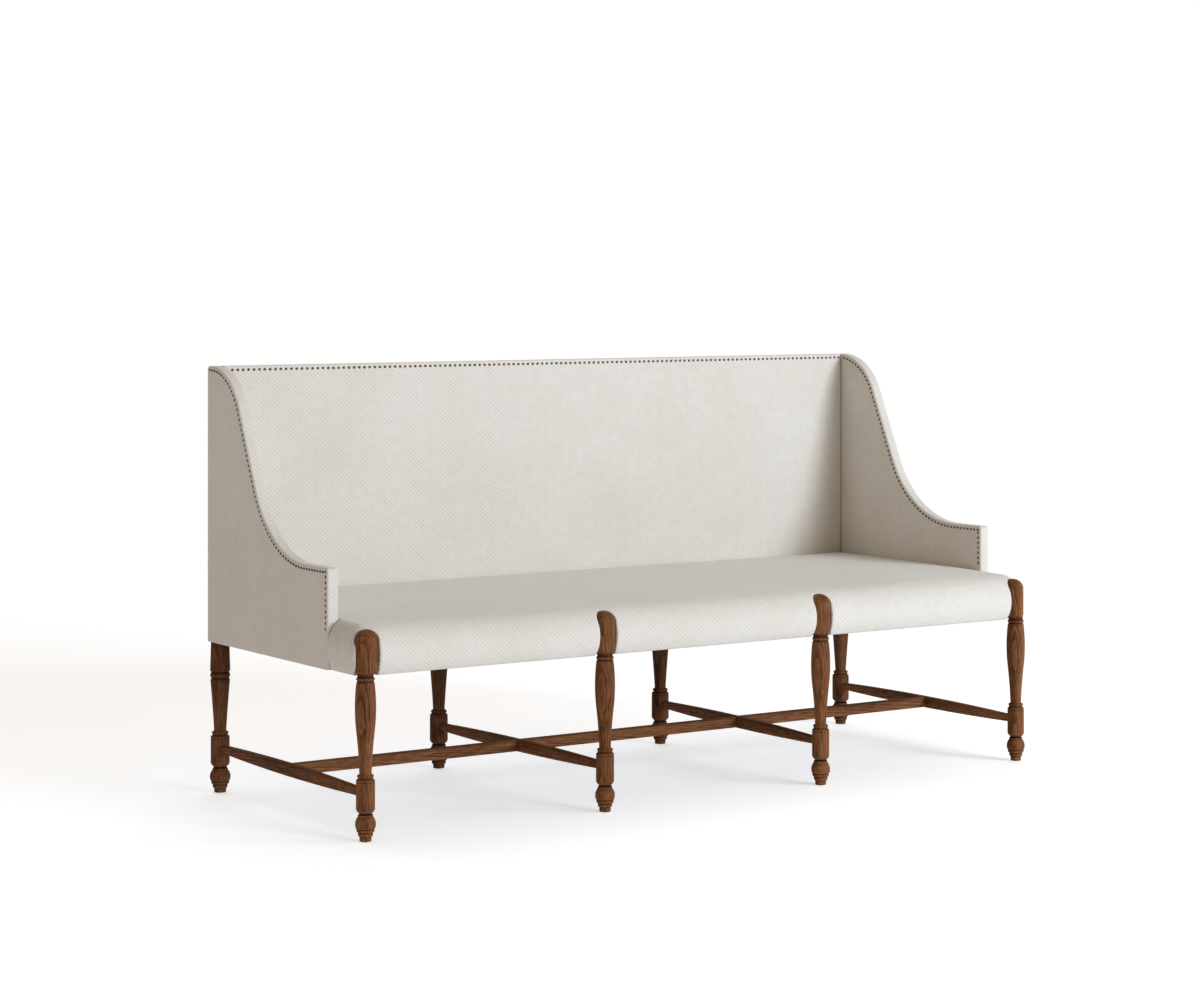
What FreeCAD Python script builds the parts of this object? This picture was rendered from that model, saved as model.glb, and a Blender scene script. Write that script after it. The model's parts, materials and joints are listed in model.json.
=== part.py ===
import FreeCAD, Part
import os
import Sketcher

# A banquette settee: a tight seat between two scooped wings and a thin upright back,
# on four front and four rear turned legs that low stretchers tie together.
# Millimetres. +X along the seat, -Y to the front, +Z up.
# The origin is on the floor, in the middle of the part.

doc = FreeCAD.newDocument("settee")
sheet = doc.addObject("Spreadsheet::Sheet", "dims")

# Driving dimensions: alias, value, meaning
DIMENSIONS = (
    ("half_length", 941, "middle to the outer face of a wing"),
    ("overall_height", 992, "floor to the top of the back"),
    ("half_depth", 370.4, "middle to the widest turning of a leg, front or rear"),
    ("back_rear", 367, "middle to the rear face of the back"),
    ("fabric", 1.5, "woven cover, through its thickness"),
    ("wing_padding", 3, "felt on each face of a wing board"),
    ("wing_board", 18, "shaped plywood inside a wing"),
    ("back_padding", 3.5, "felt in front of the back board"),
    ("back_board", 3, "hardboard that closes the back frame"),
    ("back_frame", 15, "stiles and rails of the back"),
    ("back_felt", 2.5, "felt behind the back frame"),
    ("back_member", 60, "height of the top and bottom rails of the back"),
    ("stile_width", 50, "width of an upright of the back"),
    ("wing_front", 221, "middle to the front edge of a wing"),
    ("arm_height", 571, "floor to the low arm end of a wing"),
    ("wing_slope", 65, "degrees from level of the wing's straight run"),
    ("wing_foot", 53, "where the straight run would meet the arm's level"),
    ("wing_top_radius", 160, "round at the top of the wing's scoop"),
    ("wing_scoop_radius", 260, "hollow at the foot of the wing's scoop"),
    ("seat_bottom", 351, "floor to the underside of the cover"),
    ("seat_top", 467, "floor to the seat"),
    ("seat_front", 360, "middle to the fullest point of the seat's front"),
    ("seat_half", 947, "middle to the fullest point of the seat's end"),
    ("seat_corner", 42, "round of the seat's front corners, seen from above"),
    ("nose_height", 399, "floor to the fullest line of the seat's edge"),
    ("front_nose", 78, "radius of the seat's front face, seen from the end"),
    ("front_roll", 54, "radius where that face turns into the top"),
    ("side_nose", 106, "radius of the seat's end face, seen from the front"),
    ("side_roll", 36, "radius where that face turns into the top"),
    ("webbing", 1.5, "elastic strap, through its thickness"),
    ("webbing_width", 50, "width of a strap"),
    ("webbing_count", 18, "number of straps"),
    ("rail_front", 325, "middle to the front face of the front rail"),
    ("rail_thickness", 25, "front, side and cross rails"),
    ("rear_rail", 32, "thickness of the rear rail"),
    ("rail_height", 70, "height of the seat rails"),
    ("cross_drop", 8, "how far the cross rails lie below the straps"),
    ("block_leg", 65, "leg of a triangular corner block"),
    ("block_height", 40, "height of a corner block"),
    ("end_leg", 918, "middle to the axis of an end leg"),
    ("front_mid_leg", 306, "middle to the axis of a front middle leg"),
    ("rear_mid_leg", 329, "middle to the axis of a rear middle leg"),
    ("glide_height", 2.5, "nylon glide under a foot"),
    ("glide_radius", 9, "radius of a glide"),
    ("foot_radius", 12.2, "bottom of the foot"),
    ("foot_top", 10.5, "top of the plain foot"),
    ("low_ring", 13.4, "radius beside the lower ring"),
    ("low_ring_top", 16, "top of the lower ring"),
    ("high_ring", 15.6, "radius beside the upper ring"),
    ("high_ring_top", 24.5, "top of the upper ring"),
    ("ball_start", 18.6, "radius where the ball starts"),
    ("ball_end", 15, "radius where the ball ends"),
    ("ball_top", 51, "top of the ball"),
    ("neck_radius", 13.4, "neck above the ball"),
    ("neck_start", 53, "bottom of the neck"),
    ("neck_top", 58, "top of the neck"),
    ("block_radius", 20.3, "round block that takes the stretcher"),
    ("block_start", 66, "bottom of the block"),
    ("block_top", 127, "top of the block"),
    ("collar_radius", 17, "collar over the block"),
    ("collar_start", 129, "bottom of the collar"),
    ("collar_top", 139, "top of the collar"),
    ("vase_neck", 12.8, "thinnest place of the vase"),
    ("vase_start", 144, "bottom of the vase"),
    ("vase_rise", 147, "where the vase starts to swell"),
    ("vase_bend", 235, "where its hollow turns into its belly"),
    ("vase_bend_radius", 19.5, "radius there"),
    ("vase_top", 337, "top of the belly"),
    ("vase_top_radius", 19.4, "radius there"),
    ("vase_hollow", 1100, "radius of the hollow's curve"),
    ("vase_belly", 442, "radius of the belly's curve"),
    ("belly_radius", 22.4, "leg at its widest"),
    ("groove_radius", 17.5, "grooves beside the top bead"),
    ("bead_start", 341.5, "bottom of the top bead"),
    ("bead_top", 349.5, "top of the top bead"),
    ("spindle_top", 372, "where the turning ends inside the post"),
    ("post_radius", 25.4, "post that stands over the seat's front"),
    ("post_start", 356.5, "bottom of the post"),
    ("post_top", 450, "top of the post"),
    ("post_dome", 22, "round of the post's top edge"),
    ("post_heel", 3, "round of the post's bottom edge"),
    ("post_offset", 4.5, "post's axis behind the leg's, and inwards on an end leg"),
    ("rear_taper_top", 262, "top of a rear leg's taper"),
    ("rear_taper_radius", 21, "radius there"),
    ("rear_ring_start", 267, "bottom of a rear leg's ring"),
    ("rear_ring_top", 280, "top of the ring"),
    ("rear_ring_radius", 19, "radius beside the ring"),
    ("rear_post_start", 284, "bottom of a rear leg's plain top"),
    ("rear_post_radius", 21.6, "radius there"),
    ("rear_post_top", 19.8, "radius under the seat"),
    ("spigot_radius", 9, "spigot of a rear leg in the rear rail"),
    ("spigot_length", 40, "length of the spigot"),
    ("stretcher_height", 103, "floor to the stretchers' middle"),
    ("stretcher_deep", 28, "a stretcher's height at its middle"),
    ("stretcher_wide", 22, "a stretcher's thickness at its middle"),
    ("stretcher_end_deep", 17, "its height at a leg"),
    ("stretcher_end_wide", 15, "its thickness at a leg"),
    ("stretcher_round", 4.5, "its softened corners at the middle"),
    ("stretcher_end_round", 3.5, "its softened corners at a leg"),
    ("centre_wide", 27, "thickness of the long centre stretcher"),
    ("centre_round", 7, "softened corners of the centre stretcher"),
    ("tenon_radius", 6.5, "round tenon at a stretcher's end"),
    ("tenon_length", 14, "length of the tenon"),
    ("shoulder_seat", 1.6, "how far a stretcher's shoulder is let into the round block"),
    ("dowel_radius", 5, "beech dowel"),
    ("dowel_half", 18, "half the length of a dowel"),
    ("post_dowel_low", 374, "floor to the lower dowel of a post"),
    ("post_dowel_high", 404, "floor to its upper dowel"),
    ("rail_dowel_low", 362, "floor to the lower dowel of a rail joint"),
    ("rail_dowel_high", 389, "floor to its upper dowel"),
    ("screw_radius", 2.5, "shank of a frame screw"),
    ("screw_head", 5, "radius of its head"),
    ("screw_sink", 3, "depth of its countersunk head"),
    ("screw_length", 40, "length of a wing screw"),
    ("screw_bite", 25, "how far a back screw goes into the rear rail"),
    ("screw_level", 376, "floor to the screws of the side rails"),
    ("screw_pitch", 130, "screw to screw along a wing"),
    ("nail_radius", 4.8, "domed nail head"),
    ("nail_rise", 3.2, "height of the dome"),
    ("nail_shank", 0.8, "radius of a nail's shank"),
    ("nail_inset", 9.5, "edge to the middle of a nail"),
    ("nail_pitch", 12.6, "nail to nail along a wing"),
    ("back_nail_pitch", 14, "nail to nail along the back"),
    ("outer_nail_end", 437, "floor to the lowest outer nail"),
    ("inner_nail_end", 474, "floor to the lowest inner nail"),
)

for row, (alias, value, meaning) in enumerate(DIMENSIONS, start=1):
    sheet.set(f"A{row}", meaning)
    sheet.set(f"B{row}", str(value))
    sheet.setAlias(f"B{row}", alias)
doc.recompute()

LEVEL = FreeCAD.Rotation()
FRONT_VIEW = FreeCAD.Rotation(FreeCAD.Vector(1, 0, 0), 90)
END_VIEW = FreeCAD.Rotation(FreeCAD.Vector(1, 1, 1), 120)
nodes = {}


# Helpers: expressions on the sheet, sketches and simple solids

def number(expression):
    """The value of an expression on the sheet."""
    return float(sheet.evalExpression(expression))


def node(name, feature):
    """Name a finished sub-part: its label is its file's name."""
    feature.Label = name
    nodes[name] = feature
    return feature


def pin_point(sketch, edge, end, across, up):
    """Tie one end of a sketch edge to two expressions, measured from the sketch's origin."""
    for kind, text in (("DistanceX", across), ("DistanceY", up)):
        constraint = Sketcher.Constraint(kind, -1, 1, edge, end, number(text))
        index = sketch.addConstraint(constraint)
        sketch.setExpression(f"Constraints[{index}]", text)


def outline(name, rotation, points, offset=("0", "0", "0")):
    """Closed sketch. A point is (across, up, radius): a radius makes the edge to the next point an arc,
    which turns left where the radius carries + and right where it carries -."""
    sketch = doc.addObject("Sketcher::SketchObject", name)
    sketch.Placement = FreeCAD.Placement(FreeCAD.Vector(), rotation)
    for axis, text in zip("xyz", offset):
        sketch.setExpression(f"Placement.Base.{axis}", text)
    places = [FreeCAD.Vector(number(across), number(up), 0) for across, up, _ in points]
    ends = []
    for index, (across, up, radius) in enumerate(points):
        start = places[index]
        finish = places[(index + 1) % len(points)]
        if radius is None:
            edge = sketch.addGeometry(Part.LineSegment(start, finish), False)
            ends.append((edge, 1, 2))
        else:
            left_turn = radius[0] == "+"
            size = number(radius[1:])
            chord = finish - start
            rise = (size ** 2 - (chord.Length / 2) ** 2) ** 0.5
            to_centre = FreeCAD.Vector(-chord.y, chord.x, 0).normalize() * (rise if left_turn else -rise)
            circle = Part.Circle(start + chord / 2 + to_centre, FreeCAD.Vector(0, 0, 1), size)
            first, last = (start, finish) if left_turn else (finish, start)
            arc = Part.ArcOfCircle(circle, circle.parameter(first), circle.parameter(last))
            edge = sketch.addGeometry(arc, False)
            ends.append((edge, 1, 2) if left_turn else (edge, 2, 1))
            index_radius = sketch.addConstraint(Sketcher.Constraint("Radius", edge, size))
            sketch.setExpression(f"Constraints[{index_radius}]", radius[1:])
        pin_point(sketch, edge, ends[-1][1], across, up)
    for (edge, _, finish_end), (following, start_end, _) in zip(ends, ends[1:] + ends[:1]):
        sketch.addConstraint(Sketcher.Constraint("Coincident", edge, finish_end, following, start_end))
    return sketch


def extrusion(name, sketch, length):
    """A sketch pulled along its normal by an expression."""
    solid = doc.addObject("Part::Extrusion", name)
    solid.Base = sketch
    solid.DirMode = "Normal"
    solid.setExpression("LengthFwd", length)
    solid.Solid = True
    return solid


def turning(name, sketch):
    """A sketch in the front view spun about the upright axis."""
    solid = doc.addObject("Part::Revolution", name)
    solid.Source = sketch
    solid.Axis = FreeCAD.Vector(0, 0, 1)
    solid.Angle = 360
    solid.Solid = True
    return solid


def box(name, x, y, z):
    """A bar: each of x, y and z is a (low, high) pair of expressions."""
    solid = doc.addObject("Part::Box", name)
    for side, axis, (low, high) in zip(("Length", "Width", "Height"), "xyz", (x, y, z)):
        solid.setExpression(side, f"({high}) - ({low})")
        solid.setExpression(f"Placement.Base.{axis}", low)
    return solid


def rod(name, start, direction, radius, length):
    """A cylinder from a start point, given as expressions, along a direction."""
    solid = doc.addObject("Part::Cylinder", name)
    solid.setExpression("Radius", radius)
    solid.setExpression("Height", length)
    turn = FreeCAD.Rotation(FreeCAD.Vector(0, 0, 1), FreeCAD.Vector(*direction))
    solid.Placement = FreeCAD.Placement(FreeCAD.Vector(), turn)
    for axis, text in zip("xyz", start):
        solid.setExpression(f"Placement.Base.{axis}", text)
    return solid


def group(name, members):
    """Separate solids kept together as one object."""
    solid = doc.addObject("Part::Compound", name)
    solid.Links = members
    return solid


def fuse(name, members):
    solid = doc.addObject("Part::MultiFuse", name)
    solid.Shapes = members
    return solid


def common(name, members):
    solid = doc.addObject("Part::MultiCommon", name)
    solid.Shapes = members
    return solid


def cut(name, base, tool):
    solid = doc.addObject("Part::Cut", name)
    solid.Base = base
    solid.Tool = tool
    return solid


def mirror(name, source):
    """The same piece on the other side of the middle."""
    solid = doc.addObject("Part::Mirroring", name)
    solid.Source = source
    solid.Normal = FreeCAD.Vector(1, 0, 0)
    return solid


def rounded(name, base, edges, radius):
    """Round the edges, given by a test on the edge, to a size on the sheet."""
    doc.recompute()
    size = number(radius)
    picked = [i for i, edge in enumerate(base.Shape.Edges, start=1) if edges(edge)]
    solid = doc.addObject("Part::Fillet", name)
    solid.Base = base
    solid.Edges = [(i, size, size) for i in picked]
    return solid


def place(feature, x, y, z="0", turn="0"):
    """Move a piece that was made on its own axis, and turn it about the upright."""
    for axis, text in zip("xyz", (x, y, z)):
        feature.setExpression(f"Placement.Base.{axis}", text)
    feature.setExpression("Placement.Rotation.Angle", turn)
    return feature


# Planes that the pieces share, as expressions

def layers(start, *thicknesses):
    """Successive planes, each one thickness further in."""
    planes = [start]
    for thickness in thicknesses:
        planes.append(f"{planes[-1]} - {thickness}")
    return planes


WING_OUT, WING_FELT, BOARD_OUT, BOARD_IN, WING_LINING, WING_IN = layers(
    "dims.half_length", "dims.fabric", "dims.wing_padding",
    "dims.wing_board", "dims.wing_padding", "dims.fabric")
BACK_OUT, BACK_FELT, FRAME_REAR, FRAME_FRONT, PANEL_FRONT, BACK_LINING, BACK_IN = layers(
    "dims.back_rear", "dims.fabric", "dims.back_felt",
    "dims.back_frame", "dims.back_board", "dims.back_padding", "dims.fabric")

COVER_BOTTOM = "dims.seat_bottom"
RAIL_BOTTOM = "dims.seat_bottom + dims.fabric"
RAIL_TOP = f"{RAIL_BOTTOM} + dims.rail_height"
TUCK = f"{RAIL_TOP} + dims.webbing"
COVER_TOP = "dims.overall_height"
FRAME_TOP = "dims.overall_height - dims.fabric"

FRONT_LEGS = "-(dims.half_depth - dims.belly_radius)"
REAR_LEGS = "dims.half_depth - dims.rear_post_radius"
RAIL_FACE = "-dims.rail_front"
RAIL_INSIDE = "-dims.rail_front + dims.rail_thickness"
REAR_RAIL_INSIDE = f"{FRAME_REAR} - dims.rear_rail"


def minus(expression):
    return f"-({expression})"


def both_sides(half):
    return (minus(half), half)


# Stretchers: four from front leg to rear leg, fullest in the middle, and one long centre stretcher

def round_rectangle(name, rotation, offset, wide, deep, corner):
    """A rectangle with round corners about its own middle."""
    points = []
    for side, level, upright in ((1, 1, True), (-1, 1, False), (-1, -1, True), (1, -1, False)):
        beside = (f"{side} * ({wide} / 2)", f"{level} * ({deep} / 2 - {corner})")
        above = (f"{side} * ({wide} / 2 - {corner})", f"{level} * ({deep} / 2)")
        start, finish = (beside, above) if upright else (above, beside)
        points.append((*start, f"+{corner}"))
        points.append((*finish, None))
    return outline(name, rotation, points, offset)


def cross_stretcher(name, front_x, rear_x, turn):
    """A swelling bar along the depth with a round tenon in the leg at each end."""
    between = f"sqrt(({rear_x} - ({front_x})) ^ 2 + {DEPTH_BETWEEN} ^ 2)"
    shoulder = f"({between} / 2 - dims.block_radius + dims.shoulder_seat)"
    reach = f"({between} / 2 - dims.block_radius + dims.tenon_length)"
    end = ("dims.stretcher_end_wide", "dims.stretcher_end_deep", "dims.stretcher_end_round")
    middle = ("dims.stretcher_wide", "dims.stretcher_deep", "dims.stretcher_round")
    bar = doc.addObject("Part::Loft", f"{name}_bar")
    bar.Sections = [
        round_rectangle(f"{name}_{label}", FRONT_VIEW, ("0", along, "0"), *size)
        for label, along, size in (
            ("front", minus(shoulder), end), ("middle", "0", middle), ("rear", shoulder, end))]
    bar.Solid = True
    tenon = rod(f"{name}_tenon", ("0", minus(reach), "0"), (0, 1, 0), "dims.tenon_radius", f"2 * {reach}")
    whole = fuse(f"{name}_whole", [bar, tenon])
    return place(whole, f"({front_x} + ({rear_x})) / 2", LEGS_MIDDLE, "dims.stretcher_height", turn)


DEPTH_BETWEEN = f"({REAR_LEGS} - ({FRONT_LEGS}))"
LEGS_MIDDLE = f"({REAR_LEGS} + ({FRONT_LEGS})) / 2"
SKEW = f"atan((dims.rear_mid_leg - dims.front_mid_leg) / {DEPTH_BETWEEN})"
CENTRE_HALF = "(dims.end_leg - dims.stretcher_wide / 2)"

end_bar = cross_stretcher("end_stretcher", "-dims.end_leg", "-dims.end_leg", "0")
mid_bar = cross_stretcher("mid_stretcher", "-dims.front_mid_leg", "-dims.rear_mid_leg", SKEW)

centre_section = round_rectangle(
    "centre_section", END_VIEW, (minus(CENTRE_HALF), LEGS_MIDDLE, "dims.stretcher_height"),
    "dims.centre_wide", "dims.stretcher_deep", "dims.centre_round")
centre_tenon = rod(
    "centre_tenon", (f"{minus(CENTRE_HALF)} - dims.tenon_length / 2", LEGS_MIDDLE, "dims.stretcher_height"),
    (1, 0, 0), "dims.tenon_radius", f"2 * {CENTRE_HALF} + dims.tenon_length")
centre_bar = extrusion("centre_bar", centre_section, f"2 * {CENTRE_HALF}")
centre_whole = fuse("centre_whole", [centre_bar, centre_tenon])

# The middle stretchers are halved over the centre one: each loses half its height where they cross
CENTRE_SIDES = (f"{LEGS_MIDDLE} - dims.centre_wide / 2", f"{LEGS_MIDDLE} + dims.centre_wide / 2")
low_half = box("low_half", both_sides("dims.half_length"), CENTRE_SIDES, ("0", "dims.stretcher_height"))
high_half = box("high_half", both_sides("dims.half_length"), both_sides("dims.centre_wide"),
                ("dims.stretcher_height", "dims.seat_bottom"))
mid_halved = cut("cross_stretcher_2", mid_bar, low_half)
mid_high = common("mid_high", [mid_bar, high_half])
node("centre_stretcher", cut("centre_stretcher", centre_whole,
                             group("halvings", [mid_high, mirror("mid_high_right", mid_high)])))
end_morticed = node("cross_stretcher_1", cut("cross_stretcher_1", end_bar, centre_whole))
node("cross_stretcher_2", mid_halved)
node("cross_stretcher_3", mirror("cross_stretcher_3", mid_halved))
node("cross_stretcher_4", mirror("cross_stretcher_4", end_morticed))


# Dowels: two at each post, and two at each butt joint of the seat frame

def dowel_group(name, places):
    """Beech dowels along the depth, centred on each (x, y, z)."""
    pins = []
    for index, (x, y, z) in enumerate(places, start=1):
        start = (x, f"{y} - dims.dowel_half", z)
        pins.append(rod(f"{name}_{index}", start, (0, 1, 0), "dims.dowel_radius", "2 * dims.dowel_half"))
    return node(name, group(name, pins))


POST_DOWELS = ("dims.end_leg - dims.post_offset - dims.dowel_radius", "dims.front_mid_leg")
RAIL_DOWELS = (f"{BOARD_IN} - dims.rail_thickness * 2 / 3", "dims.front_mid_leg")
post_dowels = dowel_group("post_dowels", [
    (x, RAIL_FACE, z)
    for half in POST_DOWELS
    for x in both_sides(half)
    for z in ("dims.post_dowel_low", "dims.post_dowel_high")])
rail_dowels = dowel_group("rail_dowels", [
    (x, y, z)
    for half in RAIL_DOWELS
    for x in both_sides(half)
    for y in (RAIL_INSIDE, REAR_RAIL_INSIDE)
    for z in ("dims.rail_dowel_low", "dims.rail_dowel_high")])


# Screws: through each wing board into its side rail and back stile, and through the back into the rear rail

def screw(name, start, direction, length):
    """A countersunk screw that starts at the face it is driven from."""
    shank = rod(f"{name}_shank", start, direction, "dims.screw_radius", length)
    head = doc.addObject("Part::Cone", f"{name}_head")
    head.setExpression("Radius1", "dims.screw_head")
    head.setExpression("Radius2", "dims.screw_radius")
    head.setExpression("Height", "dims.screw_sink")
    head.Placement = FreeCAD.Placement(FreeCAD.Vector(), shank.Placement.Rotation)
    for axis, text in zip("xyz", start):
        head.setExpression(f"Placement.Base.{axis}", text)
    return fuse(name, [head, shank])


FRAME_MIDDLE = f"{FRAME_REAR} - dims.back_frame / 2"
SIDE_SCREWS = [
    (f"{REAR_RAIL_INSIDE} - {step} * dims.screw_pitch", "dims.screw_level") for step in (1, 2, 3, 4)]
STILE_SCREWS = [(FRAME_MIDDLE, f"{COVER_TOP} - {step} * dims.screw_pitch") for step in (1, 2, 3)]
left_screws = [
    screw(f"wing_screw_{index}", (minus(BOARD_OUT), y, z), (1, 0, 0), "dims.screw_length")
    for index, (y, z) in enumerate(SIDE_SCREWS + STILE_SCREWS, start=1)]
right_screws = [mirror(f"{one.Name}_right", one) for one in left_screws]
back_screws = [
    screw(f"back_screw_{index}",
          (f"{step} * dims.screw_pitch * 2", FRAME_MIDDLE, f"{RAIL_TOP} + dims.back_member"), (0, 0, -1),
          "dims.back_member + dims.screw_bite")
    for index, step in enumerate((-3, -2, -1, 0, 1, 2, 3), start=1)]
frame_screws = node("frame_screws", group("frame_screws", left_screws + right_screws + back_screws))


# Seat frame: front and rear rails, side rails and two cross rails

RAIL_LEVELS = (RAIL_BOTTOM, RAIL_TOP)
SIDE_SPAN = (RAIL_INSIDE, REAR_RAIL_INSIDE)
spigots = group("spigot_holes", [
    rod(f"spigot_hole_{index}", (x, REAR_LEGS, COVER_BOTTOM), (0, 0, 1),
        "dims.spigot_radius", "dims.spigot_length")
    for index, x in enumerate(both_sides("dims.end_leg") + both_sides("dims.rear_mid_leg"), start=1)])

front_bar = box("front_bar", both_sides(BOARD_IN), (RAIL_FACE, RAIL_INSIDE), RAIL_LEVELS)
front_drilling = group("front_drilling", [post_dowels, rail_dowels])
node("front_seat_rail", cut("front_seat_rail", front_bar, front_drilling))
rear_bar = box("rear_bar", both_sides(BOARD_OUT), (REAR_RAIL_INSIDE, FRAME_REAR), RAIL_LEVELS)
rear_drilling = group("rear_drilling", [spigots, rail_dowels, *back_screws])
node("rear_seat_rail", cut("rear_seat_rail", rear_bar, rear_drilling))
SIDE_RAIL = (minus(BOARD_IN), f"{minus(BOARD_IN)} + dims.rail_thickness")
side_bar = box("side_bar", SIDE_RAIL, SIDE_SPAN, RAIL_LEVELS)
side_drilling = group("side_drilling", [rail_dowels, *left_screws])
left_rail = node("left_side_rail", cut("left_side_rail", side_bar, side_drilling))
node("right_side_rail", mirror("right_side_rail", left_rail))
cross_bar = box(
    "cross_bar",
    ("-dims.front_mid_leg - dims.rail_thickness / 2", "-dims.front_mid_leg + dims.rail_thickness / 2"),
    SIDE_SPAN, (RAIL_BOTTOM, f"{RAIL_TOP} - dims.cross_drop"))
cross_rail = node("seat_cross_rail_1", cut("seat_cross_rail_1", cross_bar, rail_dowels))
node("seat_cross_rail_2", mirror("seat_cross_rail_2", cross_rail))


# Corner blocks glued into the four inner corners of the seat frame

def corner_block(name, y, inward):
    """A triangular block with its right angle in the corner of the frame."""
    corner = f"{minus(BOARD_IN)} + dims.rail_thickness"
    points = [(corner, y), (f"{corner} + dims.block_leg", y), (corner, f"{y} {inward} dims.block_leg")]
    sketch = outline(f"{name}_outline", LEVEL, [(x, y, None) for x, y in points],
                     ("0", "0", f"{RAIL_BOTTOM} + dims.cross_drop"))
    return extrusion(name, sketch, "dims.block_height")


left_blocks = [
    corner_block("front_block", RAIL_INSIDE, "+"),
    corner_block("rear_block", REAR_RAIL_INSIDE, "-")]
right_blocks = [mirror(f"{block.Name}_right", block) for block in left_blocks]
node("corner_blocks", group("corner_blocks", left_blocks + right_blocks))


# Webbing: elastic straps from the front rail to the rear rail

STRAP_REACH = f"({BOARD_IN} - dims.rail_thickness - dims.webbing_width / 2)"
straps = []
for index in range(round(number("dims.webbing_count"))):
    middle = f"{STRAP_REACH} * ({index} / (dims.webbing_count - 1) * 2 - 1)"
    straps.append(box(
        f"strap_{index + 1}",
        (f"{middle} - dims.webbing_width / 2", f"{middle} + dims.webbing_width / 2"),
        (f"{RAIL_FACE} + dims.webbing", PANEL_FRONT), (RAIL_TOP, TUCK)))
node("seat_webbing", group("seat_webbing", straps))


# Legs: turned profiles from the foot up, as (radius, height, curve to the next point)

FOOT = [
    ("0", "dims.glide_height", None),
    ("dims.foot_radius", "dims.glide_height", None),
    ("dims.foot_radius", "dims.foot_top", None),
    ("dims.low_ring", "dims.foot_top", "+(dims.low_ring_top - dims.foot_top) * 0.53"),
    ("dims.low_ring", "dims.low_ring_top", None),
    ("dims.high_ring", "dims.low_ring_top", "+(dims.high_ring_top - dims.low_ring_top) * 0.57"),
    ("dims.high_ring", "dims.high_ring_top", None),
    ("dims.ball_start", "dims.high_ring_top", "+(dims.ball_top - dims.high_ring_top) * 0.82"),
    ("dims.ball_end", "dims.ball_top", None),
    ("dims.neck_radius", "dims.neck_start", None),
    ("dims.neck_radius", "dims.neck_top", "-(dims.block_start - dims.neck_top) * 1.2"),
    ("dims.block_radius", "dims.block_start", None),
    ("dims.block_radius", "dims.block_top", None),
    ("dims.collar_radius", "dims.collar_start", None),
    ("dims.collar_radius", "dims.collar_top", "-(dims.vase_start - dims.collar_top) * 1.2"),
    ("dims.vase_neck", "dims.vase_start", None),
]
VASE = [
    ("dims.vase_neck", "dims.vase_rise", "-dims.vase_hollow"),
    ("dims.vase_bend_radius", "dims.vase_bend", "+dims.vase_belly"),
    ("dims.vase_top_radius", "dims.vase_top", None),
    ("dims.groove_radius", "dims.bead_start", "+(dims.bead_top - dims.bead_start) * 0.56"),
    ("dims.groove_radius", "dims.bead_top", None),
    ("dims.groove_radius", "dims.spindle_top", None),
    ("0", "dims.spindle_top", None),
]
REAR_TOP = [
    ("dims.vase_neck", "dims.vase_rise", None),
    ("dims.rear_taper_radius", "dims.rear_taper_top", None),
    ("dims.rear_ring_radius", "dims.rear_ring_start",
     "+(dims.rear_ring_top - dims.rear_ring_start) * 0.75"),
    ("dims.rear_ring_radius", "dims.rear_ring_top", None),
    ("dims.rear_post_radius", "dims.rear_post_start", None),
    ("dims.rear_post_top", "dims.seat_bottom", None),
    ("dims.spigot_radius", "dims.seat_bottom", None),
    ("dims.spigot_radius", "dims.seat_bottom + dims.spigot_length", None),
    ("0", "dims.seat_bottom + dims.spigot_length", None),
]


def round_edge_at(level):
    """A test for the round edges that lie at one height."""
    return lambda edge: edge.Closed and abs(edge.BoundBox.Center.z - number(level)) < 0.01


def front_leg(name, x, inward, stretcher):
    """Spindle and domed post turned on two close axes, rebated over the seat frame and drilled."""
    spindle = turning(f"{name}_spindle", outline(f"{name}_profile", FRONT_VIEW, FOOT + VASE))
    column = rod(f"{name}_column", (inward, "dims.post_offset", "dims.post_start"), (0, 0, 1),
                 "dims.post_radius", "dims.post_top - dims.post_start")
    domed = rounded(f"{name}_dome", column, round_edge_at("dims.post_top"), "dims.post_dome")
    post = rounded(f"{name}_post", domed, round_edge_at("dims.post_start"), "dims.post_heel")
    whole = place(fuse(f"{name}_whole", [spindle, post]), x, FRONT_LEGS)
    rebated = cut(f"{name}_rebated", whole, frame_space)
    return node(name, cut(name, rebated, group(f"{name}_drilling", [stretcher, post_dowels])))


def rear_leg(name, x, stretcher):
    """One turning with a spigot that goes up into the rear rail."""
    profile = outline(f"{name}_profile", FRONT_VIEW, FOOT + REAR_TOP)
    whole = place(turning(f"{name}_spindle", profile), x, REAR_LEGS)
    return node(name, cut(name, whole, stretcher))


frame_space = box(
    "frame_space", both_sides(BOARD_IN), (RAIL_FACE, FRAME_REAR), (RAIL_BOTTOM, "dims.post_top"))
end_front = front_leg("front_leg_1", "-dims.end_leg", "dims.post_offset", end_bar)
mid_front = front_leg("front_leg_2", "-dims.front_mid_leg", "0", mid_bar)
end_rear = rear_leg("rear_leg_1", "-dims.end_leg", end_bar)
mid_rear = rear_leg("rear_leg_2", "-dims.rear_mid_leg", mid_bar)
for name, source in (("front_leg_3", mid_front), ("front_leg_4", end_front),
                     ("rear_leg_3", mid_rear), ("rear_leg_4", end_rear)):
    node(name, mirror(name, source))
front_legs = group("front_legs", [nodes[f"front_leg_{index}"] for index in (1, 2, 3, 4)])

leg_places = [(x, FRONT_LEGS) for half in ("dims.end_leg", "dims.front_mid_leg") for x in both_sides(half)]
leg_places += [(x, REAR_LEGS) for half in ("dims.end_leg", "dims.rear_mid_leg") for x in both_sides(half)]
node("foot_glides", group("foot_glides", [
    rod(f"foot_glide_{index}", (x, y, "0"), (0, 0, 1), "dims.glide_radius", "dims.glide_height")
    for index, (x, y) in enumerate(leg_places, start=1)]))


# Seat upholstery: foam, a padded front roll and a cover, all from one outline taken in by an inset

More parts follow.
